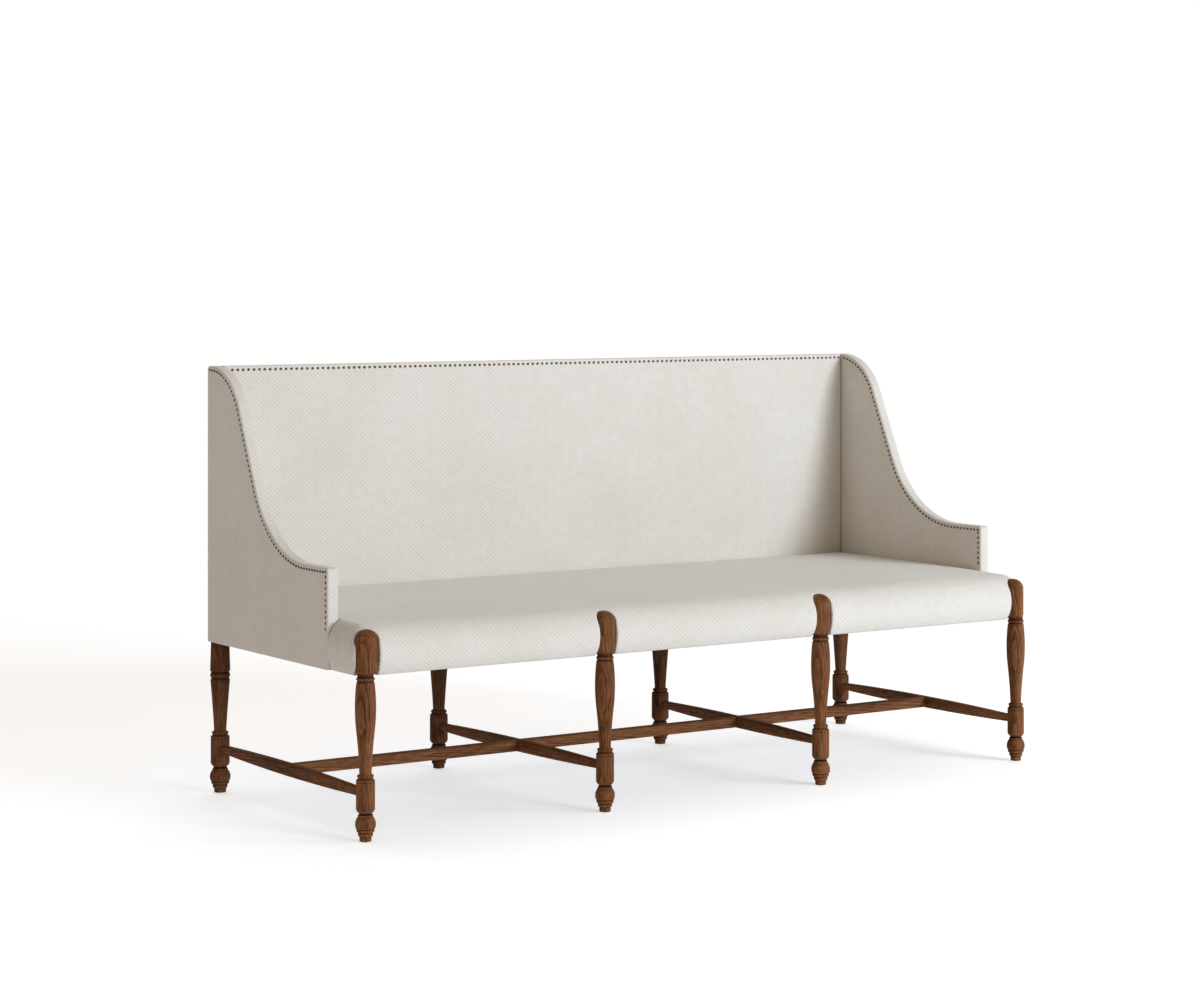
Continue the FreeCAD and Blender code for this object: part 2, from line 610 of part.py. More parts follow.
def nose(reach, face, roll, inset, bottom):
    """Points of a full edge, as (outwards, up): its foot, where face and roll join, and its crest.
    The face is an arc about the nose's height, and the roll a smaller arc tangent to it and to the top."""
    centre = f"({reach} - {face})"
    sine = f"((dims.seat_top - {roll} - dims.nose_height) / ({face} - {roll}))"
    cosine = f"sqrt(1 - {sine} ^ 2)"
    size = f"({face} - {inset})"
    foot = (f"{centre} + sqrt({size} ^ 2 - ({bottom} - dims.nose_height) ^ 2)", bottom)
    join = (f"{centre} + {size} * {cosine}", f"dims.nose_height + {size} * {sine}")
    crest = (f"{centre} + ({face} - {roll}) * {cosine}", f"dims.seat_top - {inset}")
    return foot, join, crest


def seat_front(name, inset, bottom):
    """The full front of the seat: what its plan, its end view and its front view have in common."""
    rear = "-dims.wing_front"
    side = f"(dims.seat_half - {inset})"
    front = f"-(dims.seat_front - {inset})"
    corner_x = "(dims.seat_half - dims.seat_corner)"
    corner_y = "-(dims.seat_front - dims.seat_corner)"
    corner = f"+(dims.seat_corner - {inset})"
    plan = outline(f"{name}_plan", LEVEL, [
        (minus(side), rear, None), (minus(side), corner_y, corner), (minus(corner_x), front, None),
        (corner_x, front, corner), (side, corner_y, None), (side, rear, None)], ("0", "0", bottom))
    foot, join, crest = nose("dims.seat_front", "dims.front_nose", "dims.front_roll", inset, bottom)
    end_view = outline(f"{name}_end_view", END_VIEW, [
        (rear, bottom, None),
        (minus(foot[0]), foot[1], f"-(dims.front_nose - {inset})"),
        (minus(join[0]), join[1], f"-(dims.front_roll - {inset})"),
        (minus(crest[0]), crest[1], None),
        (rear, crest[1], None)], (minus(side), "0", "0"))
    foot, join, crest = nose("dims.seat_half", "dims.side_nose", "dims.side_roll", inset, bottom)
    face, roll = f"+(dims.side_nose - {inset})", f"+(dims.side_roll - {inset})"
    front_view = outline(f"{name}_front_view", FRONT_VIEW, [
        (minus(foot[0]), foot[1], None), (foot[0], foot[1], face), (join[0], join[1], roll),
        (crest[0], crest[1], None), (minus(crest[0]), crest[1], roll), (minus(join[0]), join[1], face)],
        ("0", rear, "0"))
    return common(name, [
        extrusion(f"{name}_upright", plan, f"dims.seat_top - ({bottom})"),
        extrusion(f"{name}_along", end_view, f"2 * {side}"),
        extrusion(f"{name}_through", front_view, "dims.seat_front")])


def seat_rear(name, inset, bottom):
    """The plain part of the seat between the wings."""
    depth = (f"-dims.wing_front - {inset}", f"{BACK_IN} - {inset}")
    return box(name, both_sides(f"({WING_IN} - {inset})"), depth, (bottom, f"dims.seat_top - {inset}"))


UNDER = "dims.seat_bottom - dims.fabric"
outer_front = seat_front("outer_front", "0", COVER_BOTTOM)
inner_front = seat_front("inner_front", "dims.fabric", UNDER)
seat_outside = fuse("seat_outside", [outer_front, seat_rear("outer_rear", "0", TUCK)])
seat_inside = fuse("seat_inside", [inner_front, seat_rear("inner_rear", "dims.fabric", RAIL_TOP)])
cover_shell = cut("cover_shell", seat_outside, seat_inside)
node("seat_cover", cut("seat_cover", cover_shell, front_legs))

SEAT_DEPTH = ("-dims.seat_front", "dims.back_rear")
foam_space = box("foam_space", both_sides("dims.seat_half"), SEAT_DEPTH, (TUCK, "dims.seat_top"))
foam_block = common("foam_block", [seat_inside, foam_space])
node("seat_foam", cut("seat_foam", foam_block, front_legs))

roll_space = box("roll_space", both_sides("dims.seat_half"), SEAT_DEPTH, (COVER_BOTTOM, TUCK))
roll_block = common("roll_block", [inner_front, roll_space])
roll_clear = cut("roll_clear", roll_block, box(
    "rail_space", both_sides(BOARD_IN), (RAIL_FACE, "0"), (UNDER, TUCK)))
node("front_roll_pad", cut("front_roll_pad", roll_clear, fuse("leg_tools", [front_legs, post_dowels])))

DUST_LEVELS = (COVER_BOTTOM, RAIL_BOTTOM)
dust_sheet = fuse("dust_sheet", [
    box("dust_rear", both_sides(WING_FELT), ("-dims.wing_front + dims.fabric", BACK_FELT), DUST_LEVELS),
    box("dust_front", both_sides(BOARD_IN), (RAIL_FACE, "0"), DUST_LEVELS)])
node("dust_cover", cut("dust_cover", dust_sheet, spigots))


# Nails: domed heads in rows along the back's top edge and along both faces of each wing's edge

def wing_points(inset, bottom):
    """The wing seen from its end: flat top, round, straight slope, hollow, level arm and upright front.
    Round and hollow keep their centres as the outline is taken in by the inset."""
    sine, cosine = "sin(dims.wing_slope)", "cos(dims.wing_slope)"
    half_turn = "tan(dims.wing_slope / 2)"
    rise = "(dims.overall_height - dims.arm_height)"
    top_corner = f"(dims.wing_foot + {rise} / tan(dims.wing_slope))"
    top_run = f"dims.wing_top_radius * {half_turn}"
    foot_run = f"dims.wing_scoop_radius * {half_turn}"
    top, arm = f"dims.overall_height - {inset}", f"dims.arm_height - {inset}"
    rear, front = f"dims.back_rear - {inset}", f"-dims.wing_front + {inset}"
    return [
        (rear, bottom, None),
        (rear, top, None),
        (f"{top_corner} + {top_run}", top, f"+(dims.wing_top_radius - {inset})"),
        (f"{top_corner} - {top_run} * {cosine} + {inset} * {sine}",
         f"dims.overall_height - {top_run} * {sine} - {inset} * {cosine}", None),
        (f"dims.wing_foot + {foot_run} * {cosine} + {inset} * {sine}",
         f"dims.arm_height + {foot_run} * {sine} - {inset} * {cosine}",
         f"-(dims.wing_scoop_radius + {inset})"),
        (f"dims.wing_foot - {foot_run}", arm, None),
        (front, arm, None),
        (front, bottom, None)]


def wing_pair(name, left):
    """Name the left piece and make its right twin."""
    node(f"left_{name}", left)
    return node(f"right_{name}", mirror(f"right_{name}", left))


def nail_solid(shank):
    """A spherical cap with a shank below it, standing on the XY plane."""
    radius, rise = number("dims.nail_radius"), number("dims.nail_rise")
    ball = (radius ** 2 + rise ** 2) / (2 * rise)
    crown = FreeCAD.Vector(0, 0, rise)
    shoulder = FreeCAD.Vector(ball * 0.5 ** 0.5, 0, rise - ball * (1 - 0.5 ** 0.5))
    pin = number("dims.nail_shank")
    corners = [FreeCAD.Vector(radius, 0, 0), FreeCAD.Vector(pin, 0, 0), FreeCAD.Vector(pin, 0, -shank),
               FreeCAD.Vector(0, 0, -shank)]
    edges = [Part.Arc(crown, shoulder, corners[0]).toShape()]
    edges += [Part.makeLine(start, finish) for start, finish in zip(corners, corners[1:] + [crown])]
    return Part.Face(Part.Wire(edges)).revolve(FreeCAD.Vector(), FreeCAD.Vector(0, 0, 1), 360)


def nail_row(name, path, pitch, outward, shank):
    """Nails at even steps along a path, heads to the outward side."""
    count = round(path.Length / pitch) + 1
    nail = nail_solid(shank)
    turn = FreeCAD.Rotation(FreeCAD.Vector(0, 0, 1), outward)
    nails = []
    for point in path.discretize(Number=count):
        one = nail.copy()
        one.Placement = FreeCAD.Placement(point, turn)
        nails.append(one)
    feature = doc.addObject("Part::Feature", name)
    feature.Shape = Part.makeCompound(nails)
    return feature


def wing_nail_path(x, rear_end, low_end):
    """The wing's outline taken in to the nails' line, from its rear end to the foot of its front edge."""
    corners = wing_points("dims.nail_inset", low_end)
    places = [FreeCAD.Vector(x, number(y), number(z)) for y, z, _ in corners]
    _, _, round_top, slope_top, slope_foot, arm_start, arm_end, front_foot = places
    top_start = FreeCAD.Vector(x, rear_end, round_top.z)
    round_middle = number("dims.wing_top_radius - dims.nail_inset")
    hollow_middle = number("dims.wing_scoop_radius + dims.nail_inset")
    round_centre = round_top - FreeCAD.Vector(0, 0, round_middle)
    hollow_centre = arm_start + FreeCAD.Vector(0, 0, hollow_middle)

    def halfway(start, finish, centre, radius):
        return centre + ((start + finish) / 2 - centre).normalize() * radius

    if top_start.y > round_top.y:
        lead = [Part.makeLine(top_start, round_top)]
    else:
        drop = round_middle ** 2 - (round_centre.y - rear_end) ** 2
        round_top = round_centre + FreeCAD.Vector(0, rear_end - round_centre.y, drop ** 0.5)
        lead = []
    over_round = halfway(round_top, slope_top, round_centre, round_middle)
    over_hollow = halfway(slope_foot, arm_start, hollow_centre, hollow_middle)
    return Part.Wire(lead + [
        Part.Arc(round_top, over_round, slope_top).toShape(),
        Part.makeLine(slope_top, slope_foot),
        Part.Arc(slope_foot, over_hollow, arm_start).toShape(),
        Part.makeLine(arm_start, arm_end),
        Part.makeLine(arm_end, front_foot)])


LEFT, RIGHT, FORWARD = FreeCAD.Vector(-1, 0, 0), FreeCAD.Vector(1, 0, 0), FreeCAD.Vector(0, -1, 0)
wing_pitch = number("dims.nail_pitch")
wing_shank = number("dims.fabric + dims.wing_padding")
outer_path = wing_nail_path(
    number(minus(WING_OUT)), number("dims.back_rear - dims.nail_inset"), "dims.outer_nail_end")
outer_nails = nail_row("left_outside_wing_nails", outer_path, wing_pitch, LEFT, wing_shank)
wing_pair("outside_wing_nails", outer_nails)
inner_path = wing_nail_path(
    number(minus(WING_IN)), number(f"{BACK_IN} - dims.nail_inset"), "dims.inner_nail_end")
inner_nails = nail_row("left_inside_wing_nails", inner_path, wing_pitch, RIGHT, wing_shank)
wing_pair("inside_wing_nails", inner_nails)

row_end = number(f"{WING_IN} - dims.nail_inset")
row_level = number("dims.overall_height - dims.nail_inset")
row_front = number(BACK_IN)
back_path = Part.Wire([Part.makeLine(FreeCAD.Vector(-row_end, row_front, row_level),
                                     FreeCAD.Vector(row_end, row_front, row_level))])
back_nails = node("back_top_nails", nail_row(
    "back_top_nails", back_path, number("dims.back_nail_pitch"), FORWARD,
    number("dims.fabric + dims.back_padding")))


# Back: a frame closed with hardboard, felt on both faces and woven covers

BACK_HALF = BOARD_IN
FRAME_SPAN = (FRAME_FRONT, FRAME_REAR)
STILE_SPAN = (f"{RAIL_TOP} + dims.back_member", f"{FRAME_TOP} - dims.back_member")
bottom_bar = box("back_bottom_bar", both_sides(BACK_HALF), FRAME_SPAN, (RAIL_TOP, STILE_SPAN[0]))
node("back_bottom_rail", cut("back_bottom_rail", bottom_bar, group("bottom_drilling", back_screws)))
node("back_top_rail", box("back_top_rail", both_sides(BACK_HALF), FRAME_SPAN, (STILE_SPAN[1], FRAME_TOP)))
end_stile_bar = box("end_stile_bar", (minus(BACK_HALF), f"{minus(BACK_HALF)} + dims.stile_width"),
                    FRAME_SPAN, STILE_SPAN)
stile_drilling = group("stile_drilling", left_screws)
left_stile = node("left_end_stile", cut("left_end_stile", end_stile_bar, stile_drilling))
node("right_end_stile", mirror("right_end_stile", left_stile))
middle_stile = node("middle_stile_1", box(
    "middle_stile_1",
    ("-dims.front_mid_leg - dims.stile_width / 2", "-dims.front_mid_leg + dims.stile_width / 2"),
    FRAME_SPAN, STILE_SPAN))
node("middle_stile_2", mirror("middle_stile_2", middle_stile))
node("back_panel", box("back_panel", both_sides(BACK_HALF), (PANEL_FRONT, FRAME_FRONT),
                       (RAIL_TOP, FRAME_TOP)))
back_wad = box("back_wad", both_sides(WING_LINING), (BACK_LINING, PANEL_FRONT), (TUCK, FRAME_TOP))
node("back_padding", cut("back_padding", back_wad, back_nails))
back_cloth = box("back_cloth", both_sides(WING_IN), (BACK_IN, BACK_LINING), (TUCK, COVER_TOP))
node("inside_back_cover", cut("inside_back_cover", back_cloth, back_nails))
node("outside_back_felt", box("outside_back_felt", both_sides(BACK_HALF), (FRAME_REAR, BACK_FELT),
                              (RAIL_BOTTOM, FRAME_TOP)))
node("outside_back_cover", box("outside_back_cover", both_sides(WING_FELT), (BACK_FELT, BACK_OUT),
                               (COVER_BOTTOM, COVER_TOP)))
node("back_top_band", box("back_top_band", both_sides(WING_LINING), (BACK_LINING, BACK_FELT),
                          (FRAME_TOP, COVER_TOP)))


# Wings: a shaped board, felt and a cover on each face, and a band round the edge

def wing_slab(name, inset, bottom, outside, inside):
    """The wing's outline between two planes of the left wing."""
    sketch = outline(f"{name}_outline", END_VIEW, wing_points(inset, bottom), (minus(outside), "0", "0"))
    return extrusion(name, sketch, f"({outside}) - ({inside})")


wing_drilling = group("wing_drilling", [rear_bar, *left_screws])
wing_slab_board = wing_slab("wing_slab_board", "dims.fabric", RAIL_BOTTOM, BOARD_OUT, BOARD_IN)
wing_pair("wing_board", cut("left_wing_board", wing_slab_board, wing_drilling))
outer_wad = wing_slab("outer_wad", "dims.fabric", RAIL_BOTTOM, WING_FELT, BOARD_OUT)
wing_pair("outside_wing_felt", cut("left_outside_wing_felt", outer_wad, outer_nails))
outer_cloth = wing_slab("outer_cloth", "0", COVER_BOTTOM, WING_OUT, WING_FELT)
wing_pair("outside_wing_cover", cut("left_outside_wing_cover", outer_cloth, outer_nails))

BEHIND = "dims.half_depth"
lining_space = box("lining_space", both_sides(WING_OUT), (PANEL_FRONT, BEHIND), (TUCK, COVER_TOP))
lining_slab = wing_slab("lining_slab", "dims.fabric", TUCK, BOARD_IN, WING_LINING)
wing_pair("inside_wing_felt", cut("left_inside_wing_felt", lining_slab,
                                  group("lining_tools", [lining_space, inner_nails])))
cover_space = box("cover_space", both_sides(WING_OUT), (BACK_LINING, BEHIND), (TUCK, COVER_TOP))
inside_slab = wing_slab("inside_slab", "0", TUCK, WING_LINING, WING_IN)
wing_pair("inside_wing_cover", cut("left_inside_wing_cover", inside_slab,
                                   group("cover_tools", [cover_space, inner_nails])))

band_outside = wing_slab("band_outside", "0", RAIL_BOTTOM, WING_FELT, WING_LINING)
band_inside = wing_slab("band_inside", "dims.fabric", COVER_BOTTOM, WING_OUT, WING_IN)
band_space = box("band_space", both_sides(WING_OUT), (BACK_FELT, BEHIND), (COVER_BOTTOM, COVER_TOP))
wing_pair("wing_band", cut("left_wing_band", band_outside,
                           fuse("band_tools", [band_inside, band_space, side_bar])))


# Check every object, then write each sub-part to its own file

doc.recompute()
failed = [thing.Name for thing in doc.Objects if {"Invalid", "Error"} & set(thing.State)]
if failed:
    raise RuntimeError(f"objects that failed: {failed}")
for name, feature in nodes.items():
    if feature.Shape.isNull() or not feature.Shape.isValid() or feature.Shape.Volume <= 0:
        raise RuntimeError(f"bad shape: {name}")

os.makedirs("parts", exist_ok=True)
for name, feature in nodes.items():
    feature.Shape.exportStep(f"parts/{name}.step")
    print(name, len(feature.Shape.Solids), "solids", round(feature.Shape.Volume / 1000, 1), "cm3")
print(len(nodes), "nodes")
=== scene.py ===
# %% [markdown]
# # A long settee with nailed wings
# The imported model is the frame: every rail, leg, felt and nail of the real settee is already there
# as a solid. This lesson gives it its looks. The soft covers are replaced by cloth that swells over
# its padding, the turnings by smooth surfaces, and every piece gets the finish of what it is made
# of.

# %% Load the frame
import json
import math

import bmesh
import bpy
import numpy as np
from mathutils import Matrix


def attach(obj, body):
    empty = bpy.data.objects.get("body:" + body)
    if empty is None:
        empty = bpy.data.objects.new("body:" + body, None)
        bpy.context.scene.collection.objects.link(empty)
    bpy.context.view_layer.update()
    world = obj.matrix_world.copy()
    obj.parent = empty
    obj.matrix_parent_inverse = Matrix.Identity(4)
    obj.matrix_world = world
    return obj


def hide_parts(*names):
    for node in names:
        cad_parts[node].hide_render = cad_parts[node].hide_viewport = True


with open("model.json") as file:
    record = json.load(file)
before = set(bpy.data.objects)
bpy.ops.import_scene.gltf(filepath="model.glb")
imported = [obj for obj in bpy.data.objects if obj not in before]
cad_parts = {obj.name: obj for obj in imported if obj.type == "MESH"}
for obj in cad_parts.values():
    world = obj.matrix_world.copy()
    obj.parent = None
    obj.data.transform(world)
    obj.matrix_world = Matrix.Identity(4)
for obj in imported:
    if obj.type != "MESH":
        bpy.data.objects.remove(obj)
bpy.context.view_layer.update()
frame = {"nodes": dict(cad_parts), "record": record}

MM = 0.001

# %% [markdown]
# ## The view
# The photograph was taken from the front left corner, with the camera level at a little over table
# height. Its level lines of sight put the horizon above the middle of the picture, so the film is
# shifted down instead of the camera being tilted, and all uprights stay upright.

# %% Camera
CAMERA_PLACE = (-3.880, -5.707, 1.2085)
CAMERA_YAW = 33.6
PICTURE = (1200, 1000)
FOCAL_PIXELS = 2871
HORIZON_ROW = 273

scene = bpy.context.scene
lens = bpy.data.cameras.new("view")
lens.sensor_width = 36
lens.lens = lens.sensor_width * FOCAL_PIXELS / PICTURE[0]
lens.shift_y = -(PICTURE[1] / 2 - HORIZON_ROW) / PICTURE[0]
camera = bpy.data.objects.new("view", lens)
camera.location = CAMERA_PLACE
camera.rotation_euler = (math.radians(90), 0, math.radians(-CAMERA_YAW))
scene.collection.objects.link(camera)
scene.camera = camera
print("camera:", round(lens.lens, 1), "mm lens, shifted", round(lens.shift_y, 3))

# %% [markdown]
# ## Materials
# A material is a small graph of nodes. Colours are written as the hex values a paint chart would
# give, so one function turns them into the linear light that the shader wants, and one function
# adds a node with its settings and its links.

# %% Helpers for materials
def linear(code):
    """The linear colour of an sRGB hex code: ((c + 0.055) / 1.055) to the power 2.4, channel by
    channel."""
    channels = np.array([int(code[i:i + 2], 16) for i in (1, 3, 5)]) / 255
    bright = ((channels + 0.055) / 1.055) ** 2.4
    return (*np.where(channels <= 0.04045, channels / 12.92, bright).tolist(), 1.0)


def add(tree, kind, inputs=None, **settings):
    """Add one node. settings are its properties; inputs are values, or the sockets that feed it."""
    node = tree.nodes.new(kind)
    for name, value in settings.items():
        setattr(node, name, value)
    for key, value in (inputs or {}).items():
        if isinstance(value, bpy.types.NodeSocket):
            tree.links.new(value, node.inputs[key])
        else:
            node.inputs[key].default_value = value
    return node


def new_material(name, constants=None):
    """An empty material: its tree, and the shader at its end with its constant values."""
    material = bpy.data.materials.new(name)
    material.use_nodes = True
    tree = material.node_tree
    tree.nodes.clear()
    shader = add(tree, "ShaderNodeBsdfPrincipled", constants)
    add(tree, "ShaderNodeOutputMaterial", {"Surface": shader.outputs["BSDF"]})
    return material, tree, shader


def ramp(tree, factor, *stops):
    """A colour ramp through (place, hex code) stops."""
    node = add(tree, "ShaderNodeValToRGB", {"Fac": factor})
    band = node.color_ramp
    while len(band.elements) < len(stops):
        band.elements.new(0.5)
    for element, (place, code) in zip(band.elements, stops):
        element.position = place
        element.color = linear(code)
    return node.outputs["Color"]


print("half of white in hex, #808080, is", round(linear("#808080")[0], 3), "in linear light")

# %% [markdown]
# ### Woven cloth
# The cover is a thick off-white cotton and linen cloth with a small diamond in its weave: the weft
# floats over the warp along two diagonals, and where they cross, a slightly darker dot sinks in.
# The pattern needs to follow the cloth and not the room, so it reads the piece's own UV map, which
# is in metres along the cloth. Where two panels are tucked into a corner, no light gets between
# them, so an attribute of the piece paints that hairline dark as painted shade.

# %% Cloth
DIAMOND_WIDE = 12.0
DIAMOND_HIGH = 10.4
# Real yarns are about 1 mm thick. They are drawn coarser here, so that they show.
YARN, YARN_SHARE = 2.6, 0.6
SLACK, SLACK_SPAN = 1.6, 22.0
DRIFT_SPAN = 200.0
# Colour of the painted shade in the hairline of the tucked corners.
PAINTED_TUCK_SHADE = "#5A5148"


def woven_cloth():
    """Off-white diamond weave. With a = u/wide + v/high and b = u/wide - v/high, the float is (1 +
    cos 2 pi a)(1 + cos 2 pi b) / 4, which is 1 at each dot of the lattice and 0 between."""
    # Dry cotton and linen: nearly no gloss, and a faint bloom from loose fibres.
    material, tree, shader = new_material("woven_cotton_linen", {
        "Roughness": 0.88, "Sheen Weight": 0.25, "Sheen Roughness": 0.5,
        "Specular IOR Level": 0.25})
    flat = add(tree, "ShaderNodeUVMap", uv_map="cloth").outputs["UV"]
    slack = add(tree, "ShaderNodeTexNoise", {
        "Vector": flat, "Scale": 1 / (SLACK_SPAN * MM)}).outputs
    uv = add(tree, "ShaderNodeVectorMath", {
        0: slack["Color"], 1: (SLACK * MM, SLACK * MM, 0), 2: flat},
        operation="MULTIPLY_ADD").outputs["Vector"]
    per_metre = (1 / (DIAMOND_WIDE * MM), 1 / (DIAMOND_HIGH * MM), 0)
    cell = add(tree, "ShaderNodeVectorMath", {0: uv, 1: per_metre},
               operation="MULTIPLY").outputs["Vector"]
    parts = add(tree, "ShaderNodeSeparateXYZ", {"Vector": cell}).outputs
    floats = []
    for operation in ("ADD", "SUBTRACT"):
        along = add(tree, "ShaderNodeMath", {0: parts["X"], 1: parts["Y"]}, operation=operation)
        turn = add(tree, "ShaderNodeMath", {0: along.outputs[0], 1: 2 * math.pi},
                   operation="MULTIPLY")
        wave = add(tree, "ShaderNodeMath", {0: turn.outputs[0]}, operation="COSINE")
        floats.append(add(tree, "ShaderNodeMath", {0: wave.outputs[0], 1: 0.5, 2: 0.5},
                          operation="MULTIPLY_ADD").outputs[0])
    crossing = add(tree, "ShaderNodeMath", {0: floats[0], 1: floats[1]},
                   operation="MULTIPLY").outputs[0]
    # Where the yarn is slack, a dot is pulled in less.
    pull = add(tree, "ShaderNodeMapRange", {
        "Value": slack["Fac"], "From Min": 0.35, "From Max": 0.65,
        "To Min": 0.4, "To Max": 1.0}).outputs["Result"]
    dots = add(tree, "ShaderNodeMath", {0: crossing, 1: pull}, operation="MULTIPLY").outputs[0]
    yarns = add(tree, "ShaderNodeTexNoise", {
        "Vector": uv, "Scale": 1 / (YARN * MM), "Detail": 2.0}).outputs["Fac"]
    place = add(tree, "ShaderNodeTexCoord").outputs["Object"]
    shade = add(tree, "ShaderNodeTexNoise", {
        "Vector": place, "Scale": 1 / (DRIFT_SPAN * MM), "Detail": 3.0}).outputs["Fac"]
    dark = add(tree, "ShaderNodeMath", {0: yarns, 1: YARN_SHARE, 2: dots},
               operation="MULTIPLY_ADD").outputs[0]
    weave = ramp(tree, dark, (0.1, "#E2DED8"), (0.5, "#DBD6CF"), (1.0, "#CCC5BB"))
    drift = ramp(tree, shade, (0.3, "#FAF9F7"), (0.7, "#FFFFFF"))
    colour = add(tree, "ShaderNodeMix", {"Factor": 1.0, "A": weave, "B": drift},
                 data_type="RGBA", blend_type="MULTIPLY")
    # Painted shade: the tuck attribute darkens the hairline where two panels meet in a corner.
    tuck = add(tree, "ShaderNodeAttribute", attribute_name="tuck").outputs["Fac"]
    colour = add(tree, "ShaderNodeMix", {
        "Factor": tuck, "A": colour.outputs["Result"], "B": linear(PAINTED_TUCK_SHADE)}, data_type="RGBA")
    tree.links.new(colour.outputs["Result"], shader.inputs["Base Color"])
    height = add(tree, "ShaderNodeMath", {0: dark, 1: -1.0}, operation="MULTIPLY").outputs[0]
    bump = add(tree, "ShaderNodeBump", {"Height": height, "Strength": 0.2, "Distance": 1.2 * MM})
    tree.links.new(bump.outputs["Normal"], shader.inputs["Normal"])
    return material


cloth = woven_cloth()
print("cloth: diamonds of", DIAMOND_WIDE, "by", DIAMOND_HIGH, "mm")

# %% [markdown]
# ### Stained wood
# Legs and stretchers are a close-grained hardwood with a walnut stain and a satin lacquer. Wood is
# a stack of yearly layers, so its figure is a solid pattern: bands along one direction, bent by
# slow noise, and cut open by the turning. Stretching the space along the length of the piece makes
# the layers run with the grain. Fine dark pores lie along it too, and the turned grooves are drawn
# darker, by an attribute that each turning marks. The rear legs stand in the seat's shade, so their
# tones are drawn darker: painted shade, not a deeper stain.

# %% Wood
LAYER, LAYER_SHARE = 5.0, 0.26
CLOUD, CLOUD_SHARE = 100 / 3, 0.7
PORE = 2.2
GRAIN_STRETCH = 14
# The colour that the turned grooves are drawn darker towards.
GROOVE_DARK = "#22120A"


def stained_wood(name, grain_axis, tones=("#2C170C", "#744A2D", "#9F6C47")):
    """Layers across the grain: a wave over x + y + z after the grain's own axis is shortened
    fourteen times, bent by slow noise, with the same space's fine noise for the pores, drawn twice
    as coarse as real ones to show."""
    # Satin lacquer over dark stain: the highlights stay broad and faint.
    material, tree, shader = new_material(name, {"IOR": 1.5, "Specular IOR Level": 0.06})
    place = add(tree, "ShaderNodeTexCoord").outputs["Object"]
    squeeze = [1.0, 1.0, 1.0]
    squeeze[grain_axis] = 1 / GRAIN_STRETCH
    grain_space = add(tree, "ShaderNodeMapping", {
        "Vector": place, "Rotation": (0.10, 0.07, 0.3), "Scale": squeeze}).outputs["Vector"]
    # One band of this texture is 0.2 pi / scale wide, measured along x + y.
    layers = add(tree, "ShaderNodeTexWave", {
        "Vector": grain_space, "Scale": 0.2 * math.pi / (LAYER * MM * math.sqrt(2)),
        "Distortion": 7.0, "Detail": 3.0, "Detail Scale": 0.35},
        wave_type="BANDS", bands_direction="DIAGONAL", wave_profile="SAW").outputs["Fac"]
    pores = add(tree, "ShaderNodeTexNoise", {
        "Vector": grain_space, "Scale": 1 / (PORE * MM), "Detail": 3.0,
        "Roughness": 0.65}).outputs["Fac"]
    clouds = add(tree, "ShaderNodeTexNoise", {
        "Vector": grain_space, "Scale": 1 / (CLOUD * MM), "Detail": 2.0}).outputs["Fac"]
    streaks = add(tree, "ShaderNodeMath", {0: layers, 1: LAYER_SHARE, 2: pores},
                  operation="MULTIPLY_ADD").outputs[0]
    figure = add(tree, "ShaderNodeMath", {0: clouds, 1: CLOUD_SHARE, 2: streaks},
                 operation="MULTIPLY_ADD").outputs[0]
    spread = add(tree, "ShaderNodeMapRange", {
        "Value": figure, "From Min": 0.62, "From Max": 1.36}).outputs["Result"]
    figured = ramp(tree, spread, (0.0, tones[0]), (0.5, tones[1]), (1.0, tones[2]))
    # The grooves that each turning marks are drawn darker.
    groove = add(tree, "ShaderNodeAttribute", attribute_name="groove").outputs["Fac"]
    colour = add(tree, "ShaderNodeMix", {
        "Factor": groove, "A": figured, "B": linear(GROOVE_DARK)}, data_type="RGBA")
    tree.links.new(colour.outputs["Result"], shader.inputs["Base Color"])
    gloss = add(tree, "ShaderNodeMapRange", {
        "Value": spread, "To Min": 0.62, "To Max": 0.5}).outputs["Result"]
    tree.links.new(gloss, shader.inputs["Roughness"])
    bump = add(tree, "ShaderNodeBump", {"Height": spread, "Strength": 0.15, "Distance": 0.8 * MM})
    tree.links.new(bump.outputs["Normal"], shader.inputs["Normal"])
    return material


upright_wood = stained_wood("walnut_stain_upright", 2)
# Painted shade: the rear legs' copy of the wood is drawn darker because they stand in the seat's
# shade.
rear_wood_in_painted_shade = stained_wood("walnut_painted_shade_rear", 2, ("#20110A", "#5C3A24", "#825739"))
depth_wood = stained_wood("walnut_stain_depth", 1)
length_wood = stained_wood("walnut_stain_length", 0)
print("wood: yearly layers of about", LAYER, "mm")

# %% [markdown]
# ### Nails and the hidden materials
# Upholstery nails are pressed from sheet metal and chemically darkened, then rubbed so that the
# domes catch a little light. The rest is what an upholsterer closes in: beech rails, plywood,
# hardboard, felt, straps, black lining cloth, zinc plated screws and nylon glides. They only show
# from below or with a cover off, but each one is still itself.

# %% Nails and hidden materials
def mottled(name, low, high, grain, roughness, metallic=0.0, stretch=(1, 1, 1), bump=0.1):
    """Two tones of one stuff, mixed by noise of the given grain in millimetres."""
    material, tree, shader = new_material(name, {"Roughness": roughness, "Metallic": metallic})
    place = add(tree, "ShaderNodeTexCoord").outputs["Object"]
    space = add(tree, "ShaderNodeMapping", {"Vector": place, "Scale": stretch}).outputs["Vector"]
    noise = add(tree, "ShaderNodeTexNoise", {
        "Vector": space, "Scale": 1 / (grain * MM), "Detail": 4.0, "Roughness": 0.6}).outputs["Fac"]
    tree.links.new(ramp(tree, noise, (0.3, low), (0.7, high)), shader.inputs["Base Color"])
    dent = add(tree, "ShaderNodeBump", {"Height": noise, "Strength": bump, "Distance": 0.5 * MM})
    tree.links.new(dent.outputs["Normal"], shader.inputs["Normal"])
    return material


